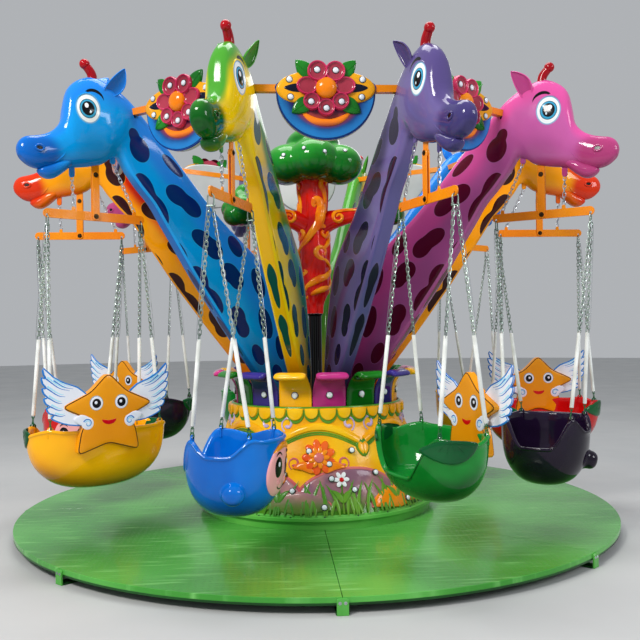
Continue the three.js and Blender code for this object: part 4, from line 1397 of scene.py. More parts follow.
def giraffe_mesh():
    form = Form()
    skin, horn, ear_inside, hollow, steel, bolt, ear_outside = range(7)
    loft(form, NECK_ROWS, 3, skin, head_bulge)
    loft(form, LIP_ROWS, 4, skin)
    find = surface_finder(form)
    for side in (-1, 1):
        point, normal = find(*NOSTRIL, side)
        place = standing(point, normal)
        axis_u = place.to_3x3() @ Vector((1, 0, 0))
        spin = Matrix.Rotation(-side * math.atan2(axis_u.z, axis_u.x), 4, "Z")
        rim = [(0.025 * math.cos(t), 0.0175 * math.sin(t), 0.001) for t in steps_round(24)]
        form.tube(rim, 0.0068, 10, skin, place @ spin, closed=True)
        dish = [[(0.0235 * s * math.cos(t), 0.0160 * s * math.sin(t), h) for t in steps_round(24)]
                for s, h in ((1.0, 0.0015), (0.8, 0.0012), (0.5, 0.0008), (0.1, 0.0006))]
        form.grid(dish, hollow, place @ spin)
        ear(form, side, ear_outside, ear_inside)
        turns = np.linspace(math.radians(18), math.radians(168), 24)
        lid = [find(EYE[0] + 0.079 * math.cos(t), EYE[1] + 0.094 * math.sin(t), side)[0] for t in turns]
        form.tube(lid, [0.0015 + 0.0040 * math.sin(math.pi * k / 23) for k in range(24)], 8, skin)
        crease = [find(x, z, side)[0]
                  for x, z in smooth_rows([(1.958, 2.486), (1.978, 2.458), (2.006, 2.432),
                                           (2.030, 2.418)], 5)]
        form.tube(crease,
                  [0.001 + 0.0035 * math.sin(math.pi * k / (len(crease) - 1)) for k in range(len(crease))],
                  8, skin)
    path = smooth_rows([(1.764, 0, 2.952), (1.762, 0, 2.985), (1.770, 0, 3.012), (1.788, 0, 3.036),
                        (1.806, 0, 3.054)], 5)
    form.tube(path, np.interp(np.linspace(0, 1, len(path)), (0, 0.15, 1), (0.036, 0.030, 0.026)), 20, horn)
    form.ellipsoid((1.811, 0, 3.061), (0.033, 0.031, 0.032), horn, FLAT, 24, 14)

    # Bracket for the chair, tabs for the safety chains, and the tie bar's bolts
    form.plate(slot_outline(1.75, JAW_BOLT_Z, 1.75, JAW_BOLT_Z + 0.07, 0.024, 12), -0.005, 0.005, 0.0015,
               steel)
    form.plate(slot_outline(1.900, 2.366, 1.900, 2.425, 0.017, 10), -0.006, 0.006, 0.0015, skin)
    form.plate(slot_outline(1.632, 2.478, 1.632, 2.520, 0.017, 10), -0.006, 0.006, 0.0015, skin)
    for side in (-1, 1):
        place = moved(0, side * 0.0547, 0) @ tipped(-side * math.pi / 2)
        form.bolt((1.512, -side * (RING_Z - 0.032), 0.0), 0.011, place, bolt)
    return form.mesh("giraffe", 42)


# Each layer of an eye: place from its middle, radii, colour and softness of its edge
EYE_LAYERS = [
    ((0, 0), (0.077, 0.092), (0.50, 0.70, 0.82), 0.05),
    ((0, 0), (0.070, 0.085), (0.92, 0.95, 0.96), 0.02),
    ((0.002, -0.001), (0.054, 0.060), (0.04, 0.14, 0.22), 0.02),
    ((0.002, -0.001), (0.050, 0.056), (0.22, 0.62, 0.78), 0.02),
    ((0.003, 0), (0.039, 0.044), (0.01, 0.015, 0.03), 0.02),
    ((0.013, 0.017), (0.012, 0.015), (0.98, 0.99, 1.0), 0.05),
    ((-0.011, -0.020), (0.006, 0.008), (0.85, 0.92, 0.96), 0.06),
]


def giraffe_paint(name, base, top, front, muzzle, low, spot, blend=(0.62, 0.92), chin=None):
    paint = Paint("giraffe_" + name, coat=0.8)
    x, y, z = paint.split(paint.place)
    plane = paint.plane(x, z)
    along, around, share = paint.split(paint.attribute("plan"))
    sway = paint.times(paint.minus(paint.noise(3.0), 0.5), 0.25)
    colour = paint.patches(base, [0.88 * c + 0.02 for c in base], 2.4, 2.0, 0.35, 0.65)
    higher = paint.times(paint.ramp(x, 1.62, 1.45), 0.30)
    colour = paint.mix(paint.ramp(paint.plus(paint.plus(share, higher), sway), *blend), colour, top)
    # Painted shade: the neck's flat front strip, which faces down, takes the darker front colour.
    strip = paint.times(paint.ramp(around, 0.044, 0.038), paint.ramp(x, 1.56, 1.46))
    colour = paint.mix(strip, colour, front)
    jaw = paint.blob(plane, (1.86, 2.37), (0.30, 0.105), -8)
    colour = paint.mix(paint.ramp(jaw, 1.15, 0.5), colour, chin or muzzle)
    nose = paint.blob(plane, (2.140, 2.44), (0.155, 0.135), -35)
    colour = paint.mix(paint.ramp(paint.plus(nose, sway), 1.25, 0.7), colour, muzzle)
    colour = paint.mix(paint.ramp(paint.plus(z, sway), 1.45, 0.93), colour, low)

    # Spots, each ringed by a thin painted highlight along its edge
    nearest = None
    for cx, cz, rx, rz, turn in SPOTS:
        d = paint.blob(plane, (cx, cz), (rx, rz), turn)
        nearest = d if nearest is None else paint.math("SMOOTH_MIN", nearest, d, 0.8)
    side_only = paint.times(paint.ramp(around, 0.058, 0.062), paint.ramp(x, 1.615, 1.60))
    slots = None
    strip_plane = paint.plane(along, around)
    for s, half, wide in STRIP_SLOTS:
        d = paint.blob(strip_plane, (s, 0), (half, wide))
        slots = d if slots is None else paint.math("SMOOTH_MIN", slots, d, 0.5)
    # Painted highlight: a lighter copy of the base colour, left as a thin ring round each spot.
    light = [0.80 * c + 0.14 for c in base]
    for shrink, shade in ((0.97, light), (1.0, spot)):
        beans = paint.times(paint.inside(paint.times(nearest, shrink), 0.012), side_only)
        marks = paint.math("MAXIMUM", beans, paint.inside(paint.times(slots, shrink), 0.03))
        colour = paint.mix(marks, colour, shade)

    # Eye and brow
    on_side = paint.ramp(paint.math("ABSOLUTE", y), 0.03, 0.034)
    for offset, radii, shade, soft in EYE_LAYERS:
        shape = paint.inside(paint.blob(plane, (EYE[0] + offset[0], EYE[1] + offset[1]), radii), soft)
        colour = paint.mix(paint.times(shape, on_side), colour, shade)
    outer = paint.inside(paint.blob(plane, (1.786, 2.840), (0.062, 0.056), 12), 0.03)
    inner = paint.inside(paint.blob(plane, (1.788, 2.820), (0.065, 0.054), 12), 0.03)
    slant = paint.math("MULTIPLY_ADD", x, -0.4, z)
    brow = paint.times(paint.minus(outer, inner), paint.ramp(slant, 2.133, 2.140))
    brow = paint.math("MAXIMUM", brow, 0.0)
    colour = paint.mix(paint.times(brow, on_side), colour, (0.02, 0.02, 0.03))
    return paint.finish(colour, (0.05, 0.15), 3.0, 0.06)


# Each front colour is darker than its base colour: painted shade for the neck's downward-facing front
# strip.
GIRAFFE_SHADES = {
    "blue": {"base": (0.02, 0.61, 0.93), "top": (0.10, 0.50, 0.88), "front": (0.02, 0.40, 0.74),
             "muzzle": (0.02, 0.38, 0.74), "low": (0.08, 0.36, 0.56), "spot": (0.01, 0.14, 0.40),
             "chin": (0.02, 0.50, 0.84)},
    "green": {"base": (0.97, 0.82, 0.03), "top": (0.28, 0.60, 0.18), "front": (0.92, 0.70, 0.03),
              "muzzle": (0.03, 0.34, 0.08), "low": (0.74, 0.52, 0.03), "spot": (0.03, 0.27, 0.26),
              "blend": (0.72, 0.96), "chin": (0.16, 0.50, 0.10)},
    "purple": {"base": (0.42, 0.37, 0.60), "top": (0.33, 0.28, 0.50), "front": (0.38, 0.36, 0.59),
               "muzzle": (0.25, 0.22, 0.44), "low": (0.26, 0.21, 0.38), "spot": (0.12, 0.08, 0.20)},
    "magenta": {"base": (0.76, 0.36, 0.63), "top": (0.84, 0.32, 0.61), "front": (0.66, 0.29, 0.54),
                "muzzle": (0.68, 0.24, 0.46), "low": (0.46, 0.16, 0.36), "spot": (0.36, 0.05, 0.16)},
    "orange": {"base": (0.98, 0.62, 0.02), "top": (0.86, 0.16, 0.04), "front": (0.96, 0.57, 0.03),
               "muzzle": (0.84, 0.20, 0.05), "low": (0.82, 0.40, 0.04), "spot": (0.20, 0.07, 0.05),
               "blend": (0.50, 0.82), "chin": (0.92, 0.40, 0.05)},
}


def giraffes():
    mesh = giraffe_mesh()
    skins = {name: giraffe_paint(name, **shades) for name, shades in GIRAFFE_SHADES.items()}
    # Painted shade and light: each ear's hollow takes a darker copy of the top colour, its outside a
    # lighter copy.
    ear_shade_and_light = {name: [gloss_paint(f"ear_{part}_{name}", [low * c for c in shades["top"]],
                               [high * c for c in shades["top"]], (0.08, 0.16))
                               for part, low, high in (("in", 0.80, 1.0), ("out", 0.95, 1.10))]
            for name, shades in GIRAFFE_SHADES.items()}
    for i in range(STATIONS):
        name = BODIES[i % len(BODIES)]
        put(numbered("giraffe_skin", i), mesh,
            [skins[name], HORN_RED, ear_shade_and_light[name][0], INK, ORANGE_STEEL, BLACK_GLOSS, ear_shade_and_light[name][1]], "rotor",
            [numbered("giraffe", i)], station_matrix(i))


# Hangers and safety chains

# Half the crossbar's height, half its thickness and the radius of its chain holes
CROSSBAR_DEEP = 0.028
CROSSBAR_THICK = 0.005
HOLE_R = 0.0095
# Where a safety chain meets the crossbar, from its middle
SAFETY_FOOT = {1: 0.140, -1: -0.262}
SAFETY_TOPS = (("outer", 1, (1.900, 0, 2.356)), ("inner", -1, (1.632, 0, 2.468)))


def eyelet(form, x, z, outer, inner, low, high, slot):
    rings = []
    for r, w in ((outer - 0.001, low), (outer, low + 0.001), (outer, high - 0.001), (outer - 0.001, high),
                 (inner + 0.001, high), (inner, high - 0.001), (inner, low + 0.001), (inner + 0.001, low)):
        rings.append([(x + r * math.cos(t), z + r * math.sin(t), w) for t in steps_round(18)])
    form.grid(rings, slot, RADIAL, loop=True)


def chain_link(form, centre, along, side, length, width, wire, slot):
    """One welded link, an oval ring of wire."""
    along, side = Vector(along).normalized(), Vector(side)
    side = (side - along * side.dot(along)).normalized()
    path = []
    for t in steps_round(10):
        c, s = math.cos(t), math.sin(t)
        stretch = math.copysign((length - width) / 2, c) if abs(c) > 0.2 else 0.0
        path.append(Vector(centre) + along * (c * width / 2 + stretch) + side * (s * width / 2))
    form.tube(path, wire / 2, 5, slot, closed=True)


def chain(form, start, end, pitch, width, wire, slot):
    """Links between two points, each a quarter turn from the one before."""
    start, end = Vector(start), Vector(end)
    count = max(int(round((end - start).length / pitch)), 2)
    points = [start.lerp(end, k / count) for k in range(count + 1)]
    for k in range(count):
        a, b = points[k], points[k + 1]
        along = (b - a).normalized()
        flat = along.orthogonal().normalized()
        turn = Matrix.Rotation(math.pi / 4 + (math.pi / 2) * (k % 2), 3, along)
        chain_link(form, (a + b) / 2, along, turn @ flat, (b - a).length + 2.1 * wire, width, wire, slot)


def hanger_mesh():
    form = Form()
    steel, zinc = 0, 1
    for side in (-1, 1):
        low, high = sorted((side * 0.0057, side * 0.0117))
        form.plate(slot_outline(CHAIR_R, CROSSBAR_Z, CHAIR_R, JAW_BOLT_Z, 0.024, 12), low, high, 0.0012,
                   steel)
        face = moved(0, side * 0.0117, 0) @ tipped(-side * math.pi / 2)
        for z in (CROSSBAR_Z, JAW_BOLT_Z):
            form.bolt((CHAIR_R, -side * z, -0.0003), 0.0095, face, zinc)
    reach = CROSSBAR_HALF - CROSSBAR_DEEP
    hole = CHAIN_PIVOT_Z + 0.0079
    cut = 0.016
    form.plate(rectangle(CHAIR_R - reach + cut, CROSSBAR_Z - CROSSBAR_DEEP, CHAIR_R + reach - cut,
                         CROSSBAR_Z + CROSSBAR_DEEP), -CROSSBAR_THICK, CROSSBAR_THICK, 0.0012, steel)
    for side in (-1, 1):
        x = CHAIR_R + side * reach
        outer = [(x - side * cut, CROSSBAR_Z - CROSSBAR_DEEP)]
        outer += [(x + side * CROSSBAR_DEEP * math.cos(t), CROSSBAR_Z + CROSSBAR_DEEP * math.sin(t))
                  for t in np.linspace(-math.pi / 2, math.pi / 2, 15)]
        outer += [(x - side * cut, CROSSBAR_Z + CROSSBAR_DEEP)]
        turns = [math.atan2(v - hole, side * (u - (CHAIR_R + side * CHAIN_X))) for u, v in outer]
        inner = [(CHAIR_R + side * (CHAIN_X + HOLE_R * math.cos(t)), hole + HOLE_R * math.sin(t))
                 for t in turns]
        rows = ((outer, -CROSSBAR_THICK), (outer, CROSSBAR_THICK), (inner, CROSSBAR_THICK),
                (inner, -CROSSBAR_THICK))
        form.grid([[(u, v, w) for u, v in outline] for outline, w in rows], steel, RADIAL, loop=True)
        tab = CHAIR_R + SAFETY_FOOT[side]
        form.plate(slot_outline(tab, CROSSBAR_Z + 0.018, tab, CROSSBAR_Z + 0.040, 0.012), -0.004, 0.004,
                   0.001, steel)
    form.plate(rectangle(CHAIR_R - 0.015, CROSSBAR_Z - 0.015, CHAIR_R + 0.015, CROSSBAR_Z + 0.015), -0.0087,
               0.0087, 0.001, zinc)
    return form.mesh("hanger")


def hangers():
    mesh = hanger_mesh()
    for i in range(STATIONS):
        body = numbered("hanger_body", i)
        put(numbered("hanger_steel", i), mesh, [ORANGE_STEEL, DARK_BOLT], body, [numbered("hanger", i)],
            station_matrix(i))
        for name, side, top in SAFETY_TOPS:
            foot = (CHAIR_R + SAFETY_FOOT[side], 0, CROSSBAR_Z + 0.046)
            form = Form()
            chain(form, top, foot, 0.0265, 0.019, 0.0050, 0)
            mesh_chain = form.mesh("safety_chain")
            mesh_chain.materials.append(ZINC)
            piece = linked(numbered("safety_chain_" + name, i), mesh_chain)
            piece.matrix_world = station_matrix(i)
            bpy.context.view_layer.update()
            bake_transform(piece)


# Chains of the chairs

# A shackle's pin and the middle of its bow, the bow's radius and its wire's
SHACKLE_PIN_Z = 2.046
SHACKLE_BOW_Z = 2.088
SHACKLE_R = 0.0175
SHACKLE_WIRE = 0.0042


def shackle(form, x, slot):
    """A bow through the crossbar's hole, with its pin and the pin's two heads."""
    place = moved(x, 0, 0) @ FACING
    legs = (SHACKLE_PIN_Z, SHACKLE_PIN_Z + 0.020, SHACKLE_BOW_Z)
    bow = [(-SHACKLE_R, z) for z in legs]
    bow += [(-SHACKLE_R * math.cos(t), SHACKLE_BOW_Z + SHACKLE_R * math.sin(t))
            for t in np.linspace(0, math.pi, 13)[1:-1]]
    bow += [(SHACKLE_R, z) for z in legs[::-1]]
    form.tube([(u, v, 0) for u, v in bow], SHACKLE_WIRE, 8, slot, place)
    form.tube([(-0.022, SHACKLE_PIN_Z, 0), (0.022, SHACKLE_PIN_Z, 0)], SHACKLE_WIRE, 8, slot, place)
    for u in (-0.020, 0.020):
        form.plate(circle(0, 0, 0.0075, 0.0075, 6), -0.003, 0.003, 0.0008, slot,
                   moved(x, u, SHACKLE_PIN_Z) @ tipped(math.pi / 2))


def chain_set(kind, side):
    """A shackle through the crossbar, two chains with sleeves, and thin wire ropes beside them."""
    form = Form()
    wire, sleeve, green, rope = range(4)
    tub = TUB[kind]
    lug_x, lug_y = tub["lug"]
    top_x = CHAIR_R + side * CHAIN_X
    foot_x = CHAIR_R + side * lug_x
    shackle(form, top_x, wire)
    for hand in (-1, 1):
        start = Vector((top_x, hand * 0.010, 2.040))
        end = Vector((foot_x, hand * lug_y, LUG_TOP + 0.008))
        reach = (end - start).length
        down = (end - start) / reach
        at = start + down * (reach - 0.042 - SLEEVE + 0.04)
        low = start + down * (reach - 0.040)
        chain(form, start, at, 0.0255, 0.0185, 0.0050, wire)
        across = down.orthogonal().normalized()
        other = down.cross(across)
        rings = []
        for along, r in ((0, 0.0088), (0, 0.0112), (0.004, 0.0120), (0.5, 0.0120), (0.996, 0.0120),
                         (1, 0.0112), (1, 0.0088)):
            centre = at.lerp(low, along)
            rings.append([centre + r * (across * math.cos(a) + other * math.sin(a))
                          for a in steps_round(14)])
        form.grid(rings, sleeve)
        chain(form, low - down * 0.012, end, 0.0225, 0.0165, 0.0045, green)
        lug = Vector((foot_x, hand * lug_y, LUG_TOP - 0.012))
        clasp = [(lug.x, lug.y + 0.0105 * math.cos(t), lug.z + 0.006 + 0.0175 * math.sin(t))
                 for t in steps_round(14)]
        form.tube(clasp, 0.0034, 6, green, closed=True)
        shift = Vector((0.016 * side, hand * 0.010, 0))
        line = [start + Vector((0, 0, 0.02)), start + down * 0.05 + shift * 0.8,
                start + down * (0.5 * reach) + shift, at + shift * 0.7, at + down * 0.03 + shift * 0.3]
        form.tube(smooth_rows([tuple(p) for p in line], 3), 0.0014, 5, rope)
    return form.mesh("chain_set", 60)


def chair_chains():
    sleeve = Paint("sleeve_plastic", coat=0.2)
    white = sleeve.patches((0.84, 0.85, 0.83), (0.95, 0.96, 0.95), 7.0, 3.0, 0.35, 0.65)
    sleeve.finish(white, (0.25, 0.4), 6.0, 0.1)
    green = gloss_paint("coated_green", (0.04, 0.26, 0.14), (0.12, 0.42, 0.24), (0.2, 0.35), 30.0, 0.0)
    tinted = metal_paint("chain_steel", (0.46, 0.54, 0.50), (0.78, 0.84, 0.80), (0.24, 0.42), 14.0, 0.9)
    meshes = {(kind, side): chain_set(kind, side) for kind in TUB for side in (-1, 1)}
    for i, (kind, _) in enumerate(CHAIRS):
        for side, name in ((-1, "inner"), (1, "outer")):
            put(numbered("chains_" + name, i), meshes[kind, side], [tinted, sleeve.material, green, ZINC],
                numbered("chair", i), [numbered("chain_" + name, i)], station_matrix(i))


giraffes()
hangers()
chair_chains()


# Seats

TUB_CURVE = smooth_rows([(0.0, 0.0), (0.25, 0.003), (0.45, 0.016), (0.63, 0.045), (0.78, 0.092),
                         (0.885, 0.147), (0.95, 0.212), (0.985, 0.300), (1.0, 0.430)], 5)


def tub_share(tub, z):
    """Share of the tub's half length and depth that its outside reaches at a height."""
    return float(np.interp(z - tub["base"], TUB_CURVE[:, 1], TUB_CURVE[:, 0]))


def tub_point(tub, turn, share, z, out=0.0):
    c, s = math.cos(turn), math.sin(turn)
    x = tub["a"] * share * math.copysign(abs(c) ** 0.94, c)
    y = tub["b"] * share * math.copysign(abs(s) ** 0.94, s)
    normal = Vector((x / tub["a"] ** 2, y / tub["b"] ** 2, 0))
    normal = normal.normalized() if normal.length > 1e-9 else Vector((0, 0, 0))
    return Vector((CHAIR_R + x + normal.x * out, y + normal.y * out, z))


def rim_height(tub, turn):
    point = tub_point(tub, turn, 1, 0)
    x, y = point.x - CHAIR_R, point.y
    single = tub["a"] == tub["b"]
    high = TUB_RIM
    if single and x > 0:
        high -= 0.078 * (1 - eased((abs(y) - 0.05) / 0.14))
    elif abs(y) < 0.12:
        high -= 0.024 * (1 - eased(abs(y) / 0.12))
    if y < 0:
        across = abs(x - tub["shift"]) / tub["mouth"]
        high = tub["lip"] + (high - tub["lip"]) * eased((across - 0.40) / 0.60)
    lug_x, lug_y = tub["lug"]
    near = math.hypot(abs(x) - lug_x, abs(y) - lug_y)
    return high + 0.012 * math.exp(-(near / 0.05) ** 2)


def on_tub(tub, turn):
    """Places (u along the girth, v height, h out) on the outside of a tub, round an angle in degrees."""
    girth = math.sqrt(tub["a"] * tub["b"])

    def place(u, v, h):
        angle = math.radians(turn) + u / girth
        return tub_point(tub, angle, tub_share(tub, v), v, h)
    return place


def rounded(points, radius, steps=6):
    """A polygon's outline with its corners rounded."""
    out = []
    for before, at, after in zip([points[-1], *points[:-1]], points, [*points[1:], points[0]]):
        at = Vector(at)
        a, b = Vector(before) - at, Vector(after) - at
        reach = min(radius, 0.45 * a.length, 0.45 * b.length)
        start, end = at + a.normalized() * reach, at + b.normalized() * reach
        for t in np.linspace(0, 1, steps):
            p = start.lerp(at, t).lerp(at.lerp(end, t), t)
            out.append((p.x, p.y))
    return out


# The star's right half, a wing's outline and its feathers' lines, in metres across and up
STAR_HALF = [(0.105, 1.045), (0.268, 0.972), (0.122, 0.903), (0.160, 0.834), (0.183, 0.706)]
WING_HALF = [(0.085, 1.020), (0.130, 1.038), (0.190, 1.086), (0.262, 1.112), (0.330, 1.150), (0.386, 1.203),
             (0.384, 1.166), (0.371, 1.142), (0.397, 1.150), (0.391, 1.116), (0.370, 1.090), (0.393, 1.088),
             (0.384, 1.058), (0.362, 1.036), (0.384, 1.030), (0.373, 1.000), (0.348, 0.984), (0.370, 0.974),
             (0.355, 0.946), (0.326, 0.936), (0.342, 0.918), (0.312, 0.898), (0.240, 0.872), (0.160, 0.866),
             (0.085, 0.880)]
FEATHERS = [((0.371, 1.142), (0.300, 1.088), (0.235, 1.068)),
            ((0.370, 1.090), (0.305, 1.045), (0.262, 1.035)),
            ((0.362, 1.036), (0.310, 1.004), (0.280, 1.000)),
            ((0.348, 0.984), (0.305, 0.962), (0.275, 0.962)),
            ((0.326, 0.936), (0.290, 0.925), (0.262, 0.930)),
            ((0.330, 1.132), (0.270, 1.092), (0.215, 1.078))]
# How far the star stands out from the chair's middle, and how far it reaches in over the tub's wall
STAR_OUT = 0.045
STAR_DEEPER = 0.028


class Seat:
    """Slots of a chair's paints, the last one for its face or its leaves."""
    shell, dark, white, blue, sky, orange, brown, black, red, grey, trim = range(11)


# The piece that joins a wing's curls to the star
STAR_LINK = [(0.215, 0.902), (0.172, 0.926), (0.130, 0.912), (0.112, 0.886), (0.135, 0.862), (0.180, 0.868)]


def star_board(form, tub):
    """A star with wings on a board behind the tub, with a face on both sides."""
    middle = tub["b"] + 0.001
    centre_x = CHAIR_R + STAR_OUT
    star = [(0, 1.150)] + STAR_HALF + [(0, 0.763)] + mirrored(STAR_HALF[::-1], -1)
    star = [(1.05 * u, 0.95 + 1.05 * (v - 0.95)) for u, v in rounded(star, 0.034, 4)]
    star_edge = [tuple(p) for p in inset(star, -0.006)]
    for side in (-1, 1):
        form.plate(smooth_loop(mirrored(WING_HALF, side), 2), -0.0050, 0.0050, 0.0012, Seat.white,
                   moved(centre_x, middle, 0) @ RADIAL)
    half = 0.0090 + STAR_DEEPER / 2
    form.plate(star_edge, -half, half, 0.0030, Seat.orange,
               moved(centre_x, middle - STAR_DEEPER / 2, 0) @ RADIAL)
    for face in (-1, 1):
        def place(u, v, h, face=face):
            return Vector((centre_x + u, middle + face * h, v))
        deeper = STAR_DEEPER if face < 0 else 0
        edge = np.vstack([star, star[:2]])
        relief(form, star, 0.0060, above(place, deeper + 0.0085), Seat.orange, 0.002)
        ridge(form, edge, 0.0034, above(place, deeper + 0.0100), Seat.brown, 0.6, 6)
        for side in (-1, 1):
            wing = smooth_loop(mirrored(WING_HALF, side), 2)
            ridge(form, np.vstack([wing, wing[:2]]), 0.0042, above(place, 0.0048), Seat.blue, 0.4, 6)
            for start, bend, end in FEATHERS:
                line = smooth_rows(mirrored((start, bend, end), side), 4)
                ridge(form, line, np.linspace(0.0042, 0.001, len(line)), above(place, 0.0049), Seat.blue,
                      0.4, 6)
                glow = shifted(line, -side * 0.004, 0.011)
                ridge(form, glow, np.linspace(0.0065, 0.001, len(line)), above(place, 0.0046), Seat.sky,
                      0.25, 6)
            centre = (side * 0.132, 0.872)
            relief(form, smooth_loop(mirrored(STAR_LINK, side), 3), 0.0035, above(place, deeper + 0.0116),
                   Seat.white, 0.006)
            relief(form, shifted(circle(0, 0, 0.037, 0.037, 26), *centre), 0.0035,
                   above(place, deeper + 0.0118), Seat.white, 0.006)
            for size, shade in ((0.030, Seat.blue), (0.020, Seat.sky)):
                t = np.linspace(0.4, 6.6, 20)
                r = size * (1 - t / 9)
                curl = np.stack([centre[0] + side * r * np.cos(t), centre[1] + r * np.sin(t)], 1)
                ridge(form, curl, 0.0036 * np.linspace(1, 0.4, 20), above(place, deeper + 0.0151), shade,
                      0.5, 6)
            eye = (side * 0.078, 0.986)
            layers = ((0.044, Seat.grey, 0), (0.039, Seat.white, 0), (0.027, Seat.black, 0),
                      (0.009, Seat.white, 0.004))
            for k, (r, shade, off) in enumerate(layers):
                disc = shifted(circle(0, 0, r, r * 1.03, 22), eye[0] + off, eye[1] + off)
                relief(form, disc, 0.0010, above(place, deeper + 0.0138 + 0.0009 * k), shade, 0.0005)
        smile = [(0.046, 0.889), (0.0, 0.882), (-0.046, 0.889)]
        smile += [(-0.046 * math.cos(t), 0.889 - 0.032 * math.sin(t))
                  for t in np.linspace(0.15, math.pi - 0.15, 13)]
        relief(form, smile, 0.0014, above(place, deeper + 0.0140), Seat.red, 0.0005)


# Heights over the tub's lowest point
BENCH_Z = 0.12
KNOB_Z = 0.165
# How far round from the outer end a one-child tub's knob stands, in degrees
KNOB_TURN = 18


def tub_shell(form, tub):
    """Outside, rolled rim, inside and bench of a tub."""
    base, a = tub["base"], tub["a"]
    bench = base + BENCH_Z
    columns = []
    levels = [0, 0.0005, 0.003, 0.010, 0.022, 0.045, 0.08, 0.125, 0.18, 0.25, 0.33, 0.42, 0.52, 0.62, 0.72,
              0.82, 0.91, 0.97]
    for turn in steps_round(96):
        high = rim_height(tub, turn)
        column = []
        for level in levels:
            z = base + (high - 0.012 - base) * level
            column.append(tub_point(tub, turn, tub_share(tub, z), z))
        top = tub_share(tub, high)
        for out, up in ((0.002, -0.016), (0.0055, -0.011), (0.0060, -0.004), (0.002, 0.002),
                        (-0.007, 0.004), (-0.017, 0.002), (-0.024, -0.004), (-0.027, -0.012)):
            column.append(tub_point(tub, turn, top, high + up, out))
        for level in (0.9, 0.75, 0.6, 0.45, 0.3, 0.18, 0.09, 0.03):
            z = bench + max(high - 0.03 - bench, 0.004) * level
            share = float(np.interp(z - base, (0.12, 0.14, 0.22, TUB_RIM - base),
                                    (0.74, 0.80, 0.90, 1 - 0.030 / a)))
            limit = tub_share(tub, z) - 0.026 / a
            column.append(tub_point(tub, turn, min(share, limit), z))
        for share, z in ((0.70, bench + 0.001), (0.6, bench - 0.002), (0.4, bench - 0.005),
                         (0.2, bench - 0.006), (0.0, bench - 0.006)):
            column.append(tub_point(tub, turn, share, z))
        columns.append(column)
    form.grid(columns, Seat.shell, around=False, loop=True)


def tub_lugs(form, tub, front):
    """Four lugs with an eyelet in each for the chains, the two in front with their own slot."""
    lug_x, lug_y = tub["lug"]
    for sx in (-1, 1):
        for sy in (-1, 1):
            x, y = CHAIR_R + sx * lug_x, sy * lug_y
            tab = [(x - 0.020, 0.790), (x + 0.020, 0.790), (x + 0.019, 0.832)]
            tab += [(x + 0.019 * math.cos(t), 0.836 + 0.019 * math.sin(t))
                    for t in np.linspace(0.1, math.pi - 0.1, 11)]
            tab += [(x - 0.019, 0.832)]
            form.plate(tab, y - 0.005, y + 0.005, 0.0015, front if sy < 0 else Seat.shell)
            eyelet(form, x, 0.840, 0.010, 0.006, y - 0.0062, y + 0.0062, Seat.dark)


def tub_knob(form, tub):
    """The knob at the end of a one-child tub."""
    knob = [(0.0, 0.070), (0.018, 0.069), (0.036, 0.063), (0.049, 0.051), (0.057, 0.034), (0.060, 0.014),
            (0.066, 0.000), (0.078, -0.012), (0.094, -0.022), (0.094, -0.050), (0.0, -0.050)]
    z = tub["base"] + KNOB_Z
    reach = tub["a"] * tub_share(tub, z) - 0.004
    place = moved(CHAIR_R, 0, z) @ turned(math.radians(KNOB_TURN)) @ moved(reach, 0, 0)
    place = place @ Matrix.Rotation(math.radians(105), 4, "Y")
    form.revolve(smooth_rows(knob[:-1], 3).tolist() + [knob[-1]], 28, Seat.shell, place)


def tub_leaves(form, tub):
    """Two leaves with raised veins, one towards each end of a two-child tub."""
    for turn, hand in ((-20, 1), (200, -1)):
        place = on_tub(tub, turn)
        leaf = smooth_loop([(-0.190, 0.770), (-0.125, 0.735), (-0.050, 0.715), (0.025, 0.712),
                            (0.090, 0.728), (0.140, 0.762), (0.172, 0.812), (0.110, 0.828), (0.040, 0.832),
                            (-0.040, 0.832), (-0.115, 0.812)], 4)
        relief(form, mirrored(shifted(leaf, -0.018, 0), hand), 0.012, place, Seat.trim)
        for end in ((-0.070, 0.775), (-0.030, 0.735), (0.030, 0.730), (0.090, 0.750), (0.140, 0.792)):
            vein = smooth_rows([(0, 0.826), (0.55 * end[0], 0.826 + 0.35 * (end[1] - 0.826)), end], 6)
            ridge(form, mirrored(shifted(vein, -0.018, 0), hand), np.linspace(0.0045, 0.0015, len(vein)),
                  above(place, 0.0105), Seat.trim, 0.8, 6)


def tub_face(form, tub):
    """A plain round face on a one-child tub."""
    place = on_tub(tub, 90)
    mask = [(0.150 * math.cos(t) * (1 - 0.16 * math.sin(t)), 0.655 + 0.148 * math.sin(t))
            for t in steps_round(44)]
    relief(form, mask, 0.010, place, Seat.trim)
    crest = [(u * 1.02, v) for u, v in mask if v > 0.736]
    relief(form, crest, 0.014, place, Seat.orange)
    for side in (-1, 1):
        layers = (((0.036, 0.056), Seat.black, 0), ((0.0095, 0.014), Seat.white, 0.016))
        for k, (size, shade, up) in enumerate(layers):
            disc = shifted(circle(0, 0, *size, 24), side * 0.058, 0.672 + up)
            relief(form, disc, 0.003, above(place, 0.0090 + 0.002 * k), shade, 0.001)
        brow = [(side * (0.030 + 0.055 * t), 0.732 + 0.018 * math.sin(math.pi * t) ** 0.8)
                for t in np.linspace(0, 1, 12)]
        ridge(form, brow, 0.0052 * np.sin(np.linspace(0.25, 2.9, 12)), above(place, 0.0115), Seat.black,
              0.6, 8)
        curl = [(side * (0.040 + 0.020 * math.cos(t) * (1 - t / 9)),
                 0.588 + 0.020 * math.sin(t) * (1 - t / 9))
                for t in np.linspace(-0.5, 5.0, 22)]
        ridge(form, curl, 0.0045, above(place, 0.010), Seat.trim, 0.9, 8)
    grin = [(0.055 * math.sin(t), 0.578 - 0.030 * math.cos(t)) for t in np.linspace(-1.2, 1.2, 17)]
    ridge(form, grin, 0.0035, above(place, 0.0095), Seat.black, 0.6, 6)


